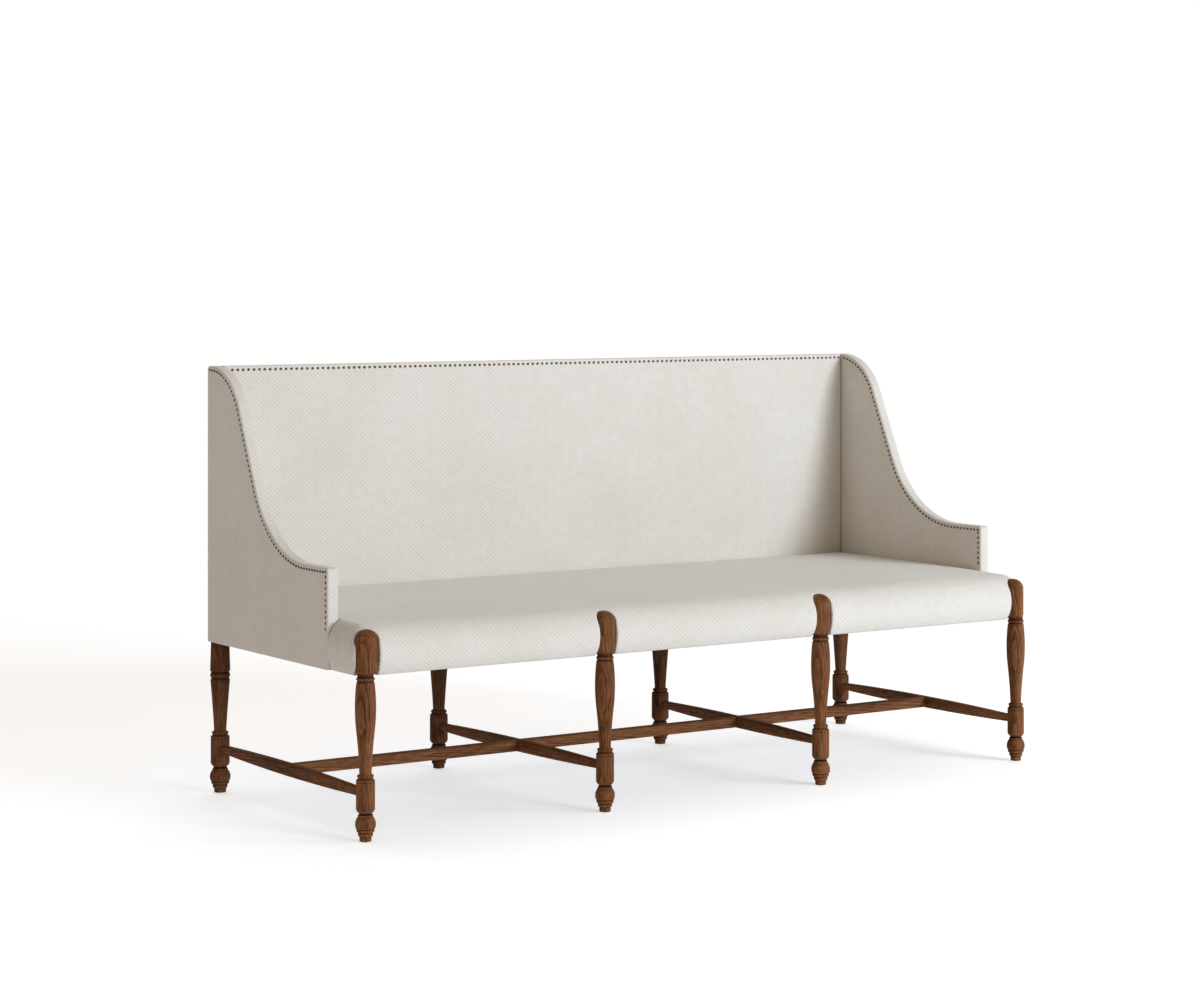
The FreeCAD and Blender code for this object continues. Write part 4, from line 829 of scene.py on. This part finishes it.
for name, side in (("left", -1), ("right", 1)):
    outer = nail_line(side * (WING_OUT - GROOVE), WING_REAR - NAIL_INSET, OUTER_NAIL_END)
    inner = nail_line(side * (WING_IN + GROOVE), BACK_IN - NAIL_INSET, INNER_NAIL_END)
    build(f"{name}_outer_nail_heads", [domes(outer, (side, 0, 0), WING_HEAD)], bronze,
          [f"{name}_outside_wing_nails"], sharp=NAIL_SHARP)
    build(f"{name}_inner_nail_heads", [domes(inner, (-side, 0, 0), WING_HEAD)], bronze,
          [f"{name}_inside_wing_nails"], sharp=NAIL_SHARP)
row_half = WING_IN - NAIL_INSET
row_x = np.linspace(-row_half, row_half, round(2 * row_half / BACK_PITCH) + 1)
row = np.stack([row_x, 0 * row_x + BACK_IN + GROOVE, 0 * row_x + HEIGHT - NAIL_INSET], axis=1)
build("back_nail_heads", [domes(row, (0, -1, 0), BACK_HEAD)], bronze,
      ["back_top_nails"], sharp=NAIL_SHARP)

# %% [markdown]
# ## Seat
# The seat is a tight one: foam on straps, a padded front roll, and cloth drawn over both and tucked
# in all round. The posts of the front legs press into it, and beside each wing an ear of it comes
# round to the outside. A box with soft edges would miss the pockets, so the form is a grid of
# cross-sections along the length. The sections crowd together at each post, where the cloth dives
# in.

# %% Where the cross-sections stand
SEAT_HALF, ALLOWANCE = 947.5, 0.8
SEAT_END = SEAT_HALF - ALLOWANCE
WALL = 911.0
POCKET, LIP, SPREAD = POST_RADIUS + 0.8, 4.2, 60.0
POCKET_TURN, CROWDING, LAST_STEPS = 80.0, 1.4, 5.0
LEAST_GAP, END_GAP, WALL_GAP = 0.3, 0.5, 0.9


def stations():
    """Places along x: even between the posts, sines of equal angles across each pocket and its lip,
    and squares of equal steps at the ends, where the section closes."""
    pocket = POCKET * np.sin(np.radians(np.linspace(0, POCKET_TURN, 9)))
    lip = POCKET + LIP * (1 - np.cos(np.linspace(0, math.pi / 2, 5)))
    slack = POCKET + LIP + (SPREAD - POCKET - LIP) * np.linspace(0, 1, 7)[1:] ** CROWDING
    near = np.concatenate([pocket, lip, slack])
    around = np.concatenate([-near[:0:-1], near])
    inner, outer = POSTS[2][0], POSTS[3][0]
    ends = SEAT_END - LAST_STEPS * np.linspace(1, 0, 8) ** 2
    places = np.unique(np.concatenate([
        np.linspace(0, inner - SPREAD, 24), inner + around,
        np.linspace(inner + SPREAD, outer - SPREAD, 46), outer + around]).round(3))
    apart = np.diff(places, prepend=-1) > LEAST_GAP
    apart &= (places < ends[0] - END_GAP) & (np.abs(places - WALL) > WALL_GAP)
    places = places[apart]
    places = np.sort(np.concatenate([places, [WALL], ends]))
    return np.concatenate([-places[:0:-1], places])


seat_x = stations()
print("seat:", len(seat_x), "cross-sections")

# %% Full edges of the seat
SEAT_TOP, NOSE_LEVEL = 467.0, 399.0
END_NOSE, END_ROLL = 106.0, 36.0
TOP_ALLOWANCE, LEAST_HALF = 4.0, 1.5


def nose(reach, face, roll, level):
    """How far out a full edge reaches at a level: a big arc about the nose's level, then a smaller
    arc tangent to it and to the top."""
    sine = (SEAT_TOP - roll - NOSE_LEVEL) / (face - roll)
    cosine = math.sqrt(1 - sine ** 2)
    on_face = reach - face + np.sqrt((face ** 2 - (level - NOSE_LEVEL) ** 2).clip(0))
    roll_arc = np.sqrt((roll ** 2 - (level - SEAT_TOP + roll) ** 2).clip(0))
    on_roll = reach - face + (face - roll) * cosine + roll_arc
    return np.where(level < NOSE_LEVEL + face * sine, on_face, on_roll)


def end_levels(x):
    """The lowest and highest level of the seat at x, from the nose at its ends."""
    dense = np.linspace(SEAT_BOTTOM, SEAT_TOP, 800)
    reach = nose(SEAT_END, END_NOSE - ALLOWANCE, END_ROLL - ALLOWANCE, dense)
    upper, lower = dense >= NOSE_LEVEL, dense <= NOSE_LEVEL
    high = np.interp(np.abs(x), reach[upper][::-1], dense[upper][::-1]) - TOP_ALLOWANCE
    low = np.interp(np.abs(x), reach[lower], dense[lower])
    return np.minimum(low, NOSE_LEVEL - LEAST_HALF), np.maximum(high, NOSE_LEVEL + LEAST_HALF)


def squeezed(x, standard):
    """A standard level brought between the lowest and highest level at x, in proportion."""
    low, high = end_levels(x)
    return low + (standard - SEAT_BOTTOM) / (SEAT_TOP - SEAT_BOTTOM) * (high - low)


print("seat: from", SEAT_BOTTOM, "to", SEAT_TOP, "mm, fullest at", NOSE_LEVEL, "mm")

# %% Pockets, fall and cloth map
FRONT_FALL, FALL_START, FALL_END = 5.0, -80.0, -345.0


def post_size(level):
    """Radius of a pocket at a level: straight, then a quarter circle over the dome, and nothing
    above it."""
    dome = POST_DOME + POCKET - POST_RADIUS
    rise = level - (POST_TOP - POST_DOME)
    size = POCKET - dome + np.sqrt(dome ** 2 - rise.clip(0, dome) ** 2)
    return np.where(rise < dome, size, 0.0)


def bend_in(x, share):
    """Draw sections towards each post: in its pocket the distance shrinks to the share, and it
    eases off to the spread."""
    for post_x, _ in POSTS:
        aside = x - post_x
        room = np.where(aside * post_x > 0, min(SPREAD, SEAT_END - abs(post_x)), SPREAD)
        ease = POCKET * (room - np.abs(aside)).clip(0) / (room - POCKET)
        x = x + (share - 1) * np.sign(aside) * np.minimum(np.abs(aside), ease)
    return x


def fall(y, level):
    """How far the top sinks towards the front: a smooth step in y, and less the nearer to the
    nose's level."""
    way = ((FALL_START - y) / (FALL_START - FALL_END)).clip(0, 1)
    rise = ((level - NOSE_LEVEL) / (SEAT_TOP - NOSE_LEVEL)).clip(0)
    return FRONT_FALL * way ** 2 * (3 - 2 * way) * rise


def cloth_across(x):
    """Distance along the cloth from the middle to x, over the top and down the end."""
    dense = np.linspace(0, SEAT_END, 4000)
    walk = np.hypot(np.diff(dense), np.diff(end_levels(dense)[1]))
    return np.sign(x) * np.interp(np.abs(x), dense, np.concatenate([[0], np.cumsum(walk)]))


half_cloth = round(float(cloth_across(SEAT_END)))
print("pockets:", len(POSTS), "of", POCKET, "mm radius; half the cloth is", half_cloth, "mm")

# %% [markdown]
# ### What shows of the seat
# From below the front edge the cloth runs up over the nose, past the posts, and back along the top
# to the wings. In a pocket it lies against the post, and over the post's dome the sections bend in
# with it, so that the pocket's rim stays on a line of the grid and doesn't come out as a row of
# steps.

# %% Cloth around the posts
POCKET_FLOOR, OVER_POST = -327.4, 2.0
HUG, HUG_RUN, HUG_DEPTH = 4.0, 14.0, 16.0


def pocketed(rows, place, level, front):
    """Take the front back to each post's circle, and round the lip beside it by a quarter
    circle."""
    for post_x, post_y in POSTS:
        inside = post_size(level) ** 2 - (place - post_x) ** 2
        bed = np.minimum(post_y + np.sqrt(inside.clip(0)), POCKET_FLOOR)
        way = 1 - ((np.abs(rows - post_x) - POCKET) / LIP).clip(0, 1)
        lip = (post_y - front).clip(0, LIP) * (1 - np.sqrt(1 - way ** 2))
        lip = lip * (level < POST_TOP + OVER_POST)
        front = np.where(inside > 1e-6, np.maximum(front, bed), front + lip)
    return front


def hugged(rows, place, level, front):
    """Press the cloth over the round side of each post: towards the post by hug * (1 - gap / run),
    in proportion to how far the cloth stands ahead of the post's middle, and less over the dome."""
    for post_x, post_y in POSTS:
        gap = np.abs(rows - post_x) - POCKET
        near = (1 - gap / HUG_RUN).clip(0) * (gap > -SLIP)
        ahead = ((post_y - front) / HUG_DEPTH).clip(0, 1) * post_size(level) / POCKET
        place = place - HUG * np.sign(rows - post_x) * near * ahead
    return place


print("cloth: pressed over each post by up to", HUG, "mm")

# %% Ears
EAR_REAR = -222.5
EAR_DEEP, EAR_ROUND, EAR_SLOPE = 7.0, 12.0, 20.0


def drawn_in(points):
    """Draw the ears in beside the wings: towards the middle of the section by deep * (1 - sqrt(1 -
    s squared)), where s is the share of the last stretch before the wing, and less at the inner
    side, where the seat runs on."""
    x, y, z = np.moveaxis(points, -1, 0)
    outward = ((np.abs(x) - WALL) / (SEAT_END - WALL)).clip(0, 1)
    share = ((y - EAR_REAR + EAR_ROUND) / EAR_ROUND).clip(0, 1)
    draw = EAR_DEEP * (1 - np.sqrt(1 - share ** 2))
    height = ((z - NOSE_LEVEL) / EAR_SLOPE).clip(-1, 1)
    drawn_x = x - np.sign(x) * draw * outward
    drawn_z = z - draw * height * (4 * outward).clip(0, 1)
    return np.stack([drawn_x, y, drawn_z], axis=-1)


print("ears: drawn in by up to", EAR_DEEP, "mm over their last", EAR_ROUND, "mm")

# %% Nose and top
SEAT_FRONT, SEAT_CORNER = 366.5, 42.0
FRONT_NOSE, FRONT_ROLL = 78.0, 54.0
LEAST_SHARE = 0.3
LEVELS = SEAT_BOTTOM + (SEAT_TOP - SEAT_BOTTOM) * np.sin(np.linspace(0, math.pi / 2, 34))
TOP_SHARES = np.array([0.06, 0.14, 0.25, 0.4, 0.58, 0.76, 0.87, 0.93, 0.97, 0.99, 1.0])


def nose_and_top(x):
    """Points and cloth map for rows at x: columns go up the nose and back along the top. The round
    corner in plan and the nose's own fall add as the two sides of a right angle do."""
    rows = x[:, None]
    share = (post_size(squeezed(rows, LEVELS)) / POCKET).clip(LEAST_SHARE, 1)
    place = bend_in(rows + 0 * LEVELS, share)
    full, corner = SEAT_FRONT - ALLOWANCE, SEAT_CORNER - ALLOWANCE
    reach = nose(full, FRONT_NOSE - ALLOWANCE, FRONT_ROLL - ALLOWANCE, LEVELS)
    into = (np.abs(place) - (SEAT_HALF - SEAT_CORNER)).clip(0, corner)
    front = np.hypot(full - reach, corner - np.sqrt(corner ** 2 - into ** 2)) - full
    level = squeezed(place, LEVELS)
    level = level - fall(front, level)
    front = pocketed(rows, place, level, front)
    place = hugged(rows, place, level, front)
    crest = front[:, -1:]
    top_y = crest + TOP_SHARES * (EAR_REAR - crest)
    top_x = bend_in(rows + 0 * TOP_SHARES, 1 - (1 - share[:, -1:]) * (1 - TOP_SHARES) ** 2)
    top_z = squeezed(top_x, SEAT_TOP)
    top_z = top_z - fall(top_y, top_z)
    steps = np.hypot(np.diff(reach), np.diff(LEVELS))
    down = np.concatenate([np.cumsum(steps[::-1])[::-1], [0]])
    low, high = end_levels(rows)
    nose_v = crest - down * (high - low) / (SEAT_TOP - SEAT_BOTTOM)
    points = np.concatenate([np.stack([place, front, level], axis=2),
                             np.stack([top_x, top_y, top_z], axis=2)], axis=1)
    across, along = cloth_across(points[:, :, 0]), np.concatenate([nose_v, top_y], axis=1)
    return points, np.stack([across, along], axis=2)


print("each section:", len(LEVELS), "points up the nose,", len(TOP_SHARES), "back along the top")

# %% [markdown]
# ### The rest of the seat
# Between the wings each section runs on to the back, turns down and comes forward under the foam.
# An ear turns down at the wing's front edge instead. Plain walls along the wings join the two,
# point to point, so that the whole is one closed skin that can hold pressure.

# %% Helpers for the closed form
def ruled(start, finish, steps):
    """Columns evenly between two edges, without the edges themselves."""
    share = (np.arange(steps) + 1)[None, :, None] / (steps + 1)
    return start[:, None] + share * (finish - start)[:, None]


def level_line(x, y, standard):
    """Points at x and y on one standard level."""
    return np.stack([x + 0 * y, y + 0 * x, squeezed(x, standard) + 0 * y], axis=-1)


def mapped(grid):
    """A plain cloth map: distance along the cloth across, and y."""
    return np.stack([cloth_across(grid[:, :, 0]), grid[:, :, 1]], axis=2)


print("three columns between 0 and 1:", ruled(np.zeros((1, 1)), np.ones((1, 1)), 3).ravel())

# %% Between the wings
FOAM_BOTTOM, SEAT_REAR, ROLL_BACK = 426.0, 337.0, -325.8
EDGE_ROUND, EDGE_EASE = 6.0, 25.0
REAR_STEPS = np.array([14, 7, 2.5, 0.7, 0])


def between_wings(x, ahead):
    """The long part as a ring of columns, with its two edge lines for the walls."""
    rows = x[:, None]
    last = SEAT_REAR - REAR_STEPS
    deep = np.concatenate([np.linspace(EAR_REAR, last[0], 11)[1:], last[1:]])
    ease = ((deep - EAR_REAR) / EDGE_EASE).clip(0, 1)
    side = (EDGE_ROUND - (WALL - np.abs(rows))).clip(0) * ease
    rear = (EDGE_ROUND - (SEAT_REAR - deep)).clip(0)
    drop = sum(EDGE_ROUND - np.sqrt(EDGE_ROUND ** 2 - near ** 2)
               for near in (side, rear + 0 * rows))
    shown, shown_map = nose_and_top(x)
    far = level_line(rows, deep, SEAT_TOP)
    far[:, :, 2] -= drop.clip(0, 1.5 * EDGE_ROUND) + fall(far[:, :, 1], far[:, :, 2])
    under = level_line(rows, np.concatenate([deep[::-1], ahead]), FOAM_BOTTOM)
    heel = level_line(rows, np.array([ROLL_BACK]), SEAT_BOTTOM)
    hidden = np.concatenate([
        far, ruled(far[:, -1], under[:, 0], 2), under, ruled(under[:, -1], heel[:, 0], 3),
        heel, ruled(heel[:, 0], shown[:, 0], 2)], axis=1)
    cloth_map = np.concatenate([shown_map, mapped(hidden), mapped(shown[:, :1])], axis=1)
    top_edge = np.concatenate([shown[:, -1:], far], axis=1)
    return grid_part(np.concatenate([shown, hidden], axis=1), cloth_map, ring=True), top_edge, under


print("between the wings:", (np.abs(seat_x) <= WALL).sum(), "sections")

# %% An ear
def ear(x, ahead):
    """One ear as a ring of columns, closed at its outer end. Its underside continues the map from
    the end's."""
    rows = x[:, None]
    shown, shown_map = nose_and_top(x)
    front_end = np.maximum(ROLL_BACK, shown[:, :1, 1] + 1)
    base_y = EAR_REAR + (ahead - EAR_REAR) / (ROLL_BACK - EAR_REAR) * (front_end - EAR_REAR)
    shelf, base = level_line(rows, ahead[:1], FOAM_BOTTOM), level_line(rows, base_y, SEAT_BOTTOM)
    hidden = np.concatenate([
        ruled(shown[:, -1], shelf[:, 0], 2), shelf, ruled(shelf[:, 0], base[:, 0], 3), base,
        ruled(base[:, -1], shown[:, 0], 2)], axis=1)
    hidden_map, wrap_map = mapped(hidden), mapped(shown[:, :1])
    for lower in (hidden_map, wrap_map):
        lower[:, :, 0] = 2 * np.sign(x[0]) * cloth_across(SEAT_END) - lower[:, :, 0]
    cloth_map = np.concatenate([shown_map, hidden_map, wrap_map], axis=1)
    skin = drawn_in(np.concatenate([shown, hidden], axis=1))
    points, faces, face_map = grid_part(skin, cloth_map, ring=True)
    columns = shown.shape[1] + hidden.shape[1]
    end = np.arange(columns) + (columns * (len(x) - 1) if x[0] > 0 else 0)
    end_row = -1 if x[0] > 0 else 0
    return points, faces + [end.tolist()], np.concatenate([face_map, cloth_map[end_row, :columns]])


print("an ear:", (seat_x >= WALL).sum(), "sections")

# %% Closed form
def seat_form():
    """All grids of the closed seat: the long part, and on each side an ear and two ruled walls."""
    # Underneath, the columns stand close at the wing, as on the top, and wider in front.
    ahead = EAR_REAR + (ROLL_BACK - EAR_REAR) * (1 - TOP_SHARES[[10, 9, 8, 7, 6, 4, 2]])
    ahead = np.append(ahead, ROLL_BACK)
    long_part, top_edge, under = between_wings(seat_x[np.abs(seat_x) <= WALL], ahead)
    parts = [long_part]
    for side, row in ((-1, 0), (1, -1)):
        parts.append(ear(seat_x[side * seat_x >= WALL], ahead))
        back_edge = under[row, :top_edge.shape[1]][::-1]
        front_edge = under[row, -len(ahead):]
        foot_edge = level_line(np.array([[side * WALL]]), ahead, SEAT_BOTTOM)[0]
        for upper, lower, steps in ((top_edge[row], back_edge, 2), (front_edge, foot_edge, 3)):
            columns = [upper[:, None], ruled(upper, lower, steps), lower[:, None]]
            parts.append(grid_part(np.concatenate(columns, axis=1)))
    return parts


form = joined("seat", seat_form())
print("seat form:", len(form.vertices), "points,", len(form.polygons), "faces")

# %% [markdown]
# ### Swelling the seat
# The form is a little too low. Blender's cloth now inflates it, held where the real cover is held:
# in the pockets, underneath, and along the wings and the back. Air would draw the front in as it
# lifts the top, but the real seat is full of foam, so only a point's way outwards counts. A cap
# keeps it short, and shorter still next to a post or a wall, so the cloth crowns between them and
# draws in beside them.

# %% Swell the seat
PRESSURE, FRAMES = 4.0, 20
SWELL, SOFTNESS, HELD_UNDER = 4.6, 4.0, 0.02
POST_RUN, WALL_RUN, EAR_RUN = 6.0, 12.0, 4.0


def swell_room(at):
    """How far each point may move: nothing on a post, a wall or underneath, and up to the full
    swell with the distance from them. A post counts as a rod with a round end."""
    x, y, z = at.T
    free = np.minimum((z - SEAT_BOTTOM - 1) / WALL_RUN, (SEAT_REAR - y) / WALL_RUN).clip(0, 1)
    beside = np.hypot((WALL - np.abs(x)).clip(0) / WALL_RUN, (EAR_REAR - y).clip(0) / EAR_RUN)
    free = np.minimum(free, beside.clip(0, 1))
    free *= ~((z < FOAM_BOTTOM + 1) & (y > POCKET_FLOOR - 0.2) & (np.abs(x) < WALL + 0.5))
    for post_x, post_y in POSTS:
        over = (z - (POST_TOP - POST_RADIUS)).clip(0)
        gap = np.sqrt((x - post_x) ** 2 + (y - post_y) ** 2 + over ** 2) - POCKET
        free = np.minimum(free, (gap / (POST_RUN + over / 2)).clip(0, 1))
    return SWELL * free


def swollen(mesh):
    """Where the frames of pressure take the points, with the fixed ones pinned."""
    holder = bpy.data.objects.new("seat_holder", mesh)
    scene.collection.objects.link(holder)
    held = holder.vertex_groups.new(name="held")
    held.add(np.flatnonzero(room < HELD_UNDER).tolist(), 1.0, "REPLACE")
    puff = holder.modifiers.new("puff", "CLOTH")
    puff.settings.use_pressure = True
    puff.settings.uniform_pressure_force = PRESSURE
    puff.settings.vertex_group_mass = "held"
    puff.settings.effector_weights.gravity = 0
    puff.point_cache.frame_start, puff.point_cache.frame_end = 1, FRAMES
    for number in range(1, FRAMES + 1):
        scene.frame_set(number)
    graph = bpy.context.evaluated_depsgraph_get()
    moved = positions(holder.evaluated_get(graph).to_mesh())
    bpy.data.objects.remove(holder)
    scene.frame_set(1)
    return moved


rest = positions(form)
room = swell_room(rest)
normals = np.array([corner.vector for corner in form.vertex_normals])
outward = ((swollen(form.copy()) - rest) * normals).sum(axis=1).clip(0)
# A soft cap: a short way counts for one part in SOFTNESS, and a long one levels off at the room.
final = rest + normals * (room * np.tanh(outward / (SOFTNESS * room + 1e-6)))[:, None]
print("seat cloth: out by up to", round(outward.max(), 1), "mm before the cap; top now at",
      round(final[:, 2].max(), 1))

# %% Finish the seat
form.vertices.foreach_set("co", (final * MM).astype(np.float32).ravel())
form.update()
seat = bpy.data.objects.new("seat", form)
smooth = seat.modifiers.new("smooth", "SUBSURF")
smooth.levels = smooth.render_levels = 1
dress(seat, cloth, ["seat_cover", "seat_foam", "front_roll_pad"])

# %% [markdown]
# ## Floor and light
# The settee stands on a seamless white floor, and the light is a soft studio: a broad key low from
# the front, a nearer panel at the right that throws the legs' faint shadows to the left, a broad
# light from above and behind for the seat's top and the other side, and a warm glow from the room.
# The floor glows a little, as a lit table does, so that it burns out to white and keeps only soft
# shadows.

# %% Floor
FLOOR_HALF = 40.0
FLOOR_GLOW, FLOOR_BOUNCE = 0.515, 0.22

floor_mesh = bpy.data.meshes.new("floor")
floor_corners = [(x * FLOOR_HALF, y * FLOOR_HALF, 0)
                 for x, y in ((-1, -1), (1, -1), (1, 1), (-1, 1))]
floor_mesh.from_pydata(floor_corners, [], [(0, 1, 2, 3)])
floor = bpy.data.objects.new("floor", floor_mesh)
scene.collection.objects.link(floor)
# Matt white paint, with no reflection of the legs in it.
paint, paint_tree, paint_shader = new_material("white_floor", {
    "Base Color": linear("#F1F4F8"), "Roughness": 0.9, "Specular IOR Level": 0.0,
    "Emission Color": linear("#FFFFFF")})
straight = add(paint_tree, "ShaderNodeLightPath").outputs["Is Camera Ray"]
glow = add(paint_tree, "ShaderNodeMapRange", {
    "Value": straight, "To Min": FLOOR_BOUNCE, "To Max": FLOOR_GLOW})
paint_tree.links.new(glow.outputs["Result"], paint_shader.inputs["Emission Strength"])
floor_mesh.materials.append(paint)
print("floor:", 2 * FLOOR_HALF, "m square")

# %% Lights
def lamp(name, kind, power, colour, towards, place=(0, 0, 0), **settings):
    """A light whose beam points along the vector towards."""
    light = bpy.data.lights.new(name, kind)
    light.energy, light.color = power, linear(colour)[:3]
    for key, value in settings.items():
        setattr(light, key, value)
    stand = bpy.data.objects.new(name, light)
    stand.location = place
    way = np.array(towards, float) / np.linalg.norm(towards)
    stand.rotation_euler = (math.acos(-way[2]), 0, math.atan2(way[1], way[0]) - math.pi / 2)
    stand.visible_camera = False
    scene.collection.objects.link(stand)


PANEL_PLACE = (2.15, -2.5, 1.4)
ROOM_GLOW, WALL_WHITE = 0.335, 1.05
lamp("key", "SUN", 1.75, "#EBF3FF", (-0.329, 0.913, -0.242), angle=math.radians(25))
lamp("panel", "AREA", 30, "#E4F5FF", (-2.15, 2.7, -0.8), PANEL_PLACE, size=0.9)
lamp("rear", "SUN", 0.66, "#E8EEFF", (-0.185, -0.616, -0.766), angle=math.radians(60))

world = bpy.data.worlds.new("studio")
scene.world = world
world.use_nodes = True
sky = world.node_tree
sky.nodes.clear()
room_light = add(sky, "ShaderNodeBackground", {"Color": linear("#FFEDD2"), "Strength": ROOM_GLOW})
wall = add(sky, "ShaderNodeBackground", {"Color": linear("#FFFFFF"), "Strength": WALL_WHITE})
seen = add(sky, "ShaderNodeLightPath").outputs["Is Camera Ray"]
mixed = add(sky, "ShaderNodeMixShader", {"Fac": seen, 1: room_light.outputs[0], 2: wall.outputs[0]})
add(sky, "ShaderNodeOutputWorld", {"Surface": mixed.outputs[0]})
scene.view_settings.view_transform = "Standard"
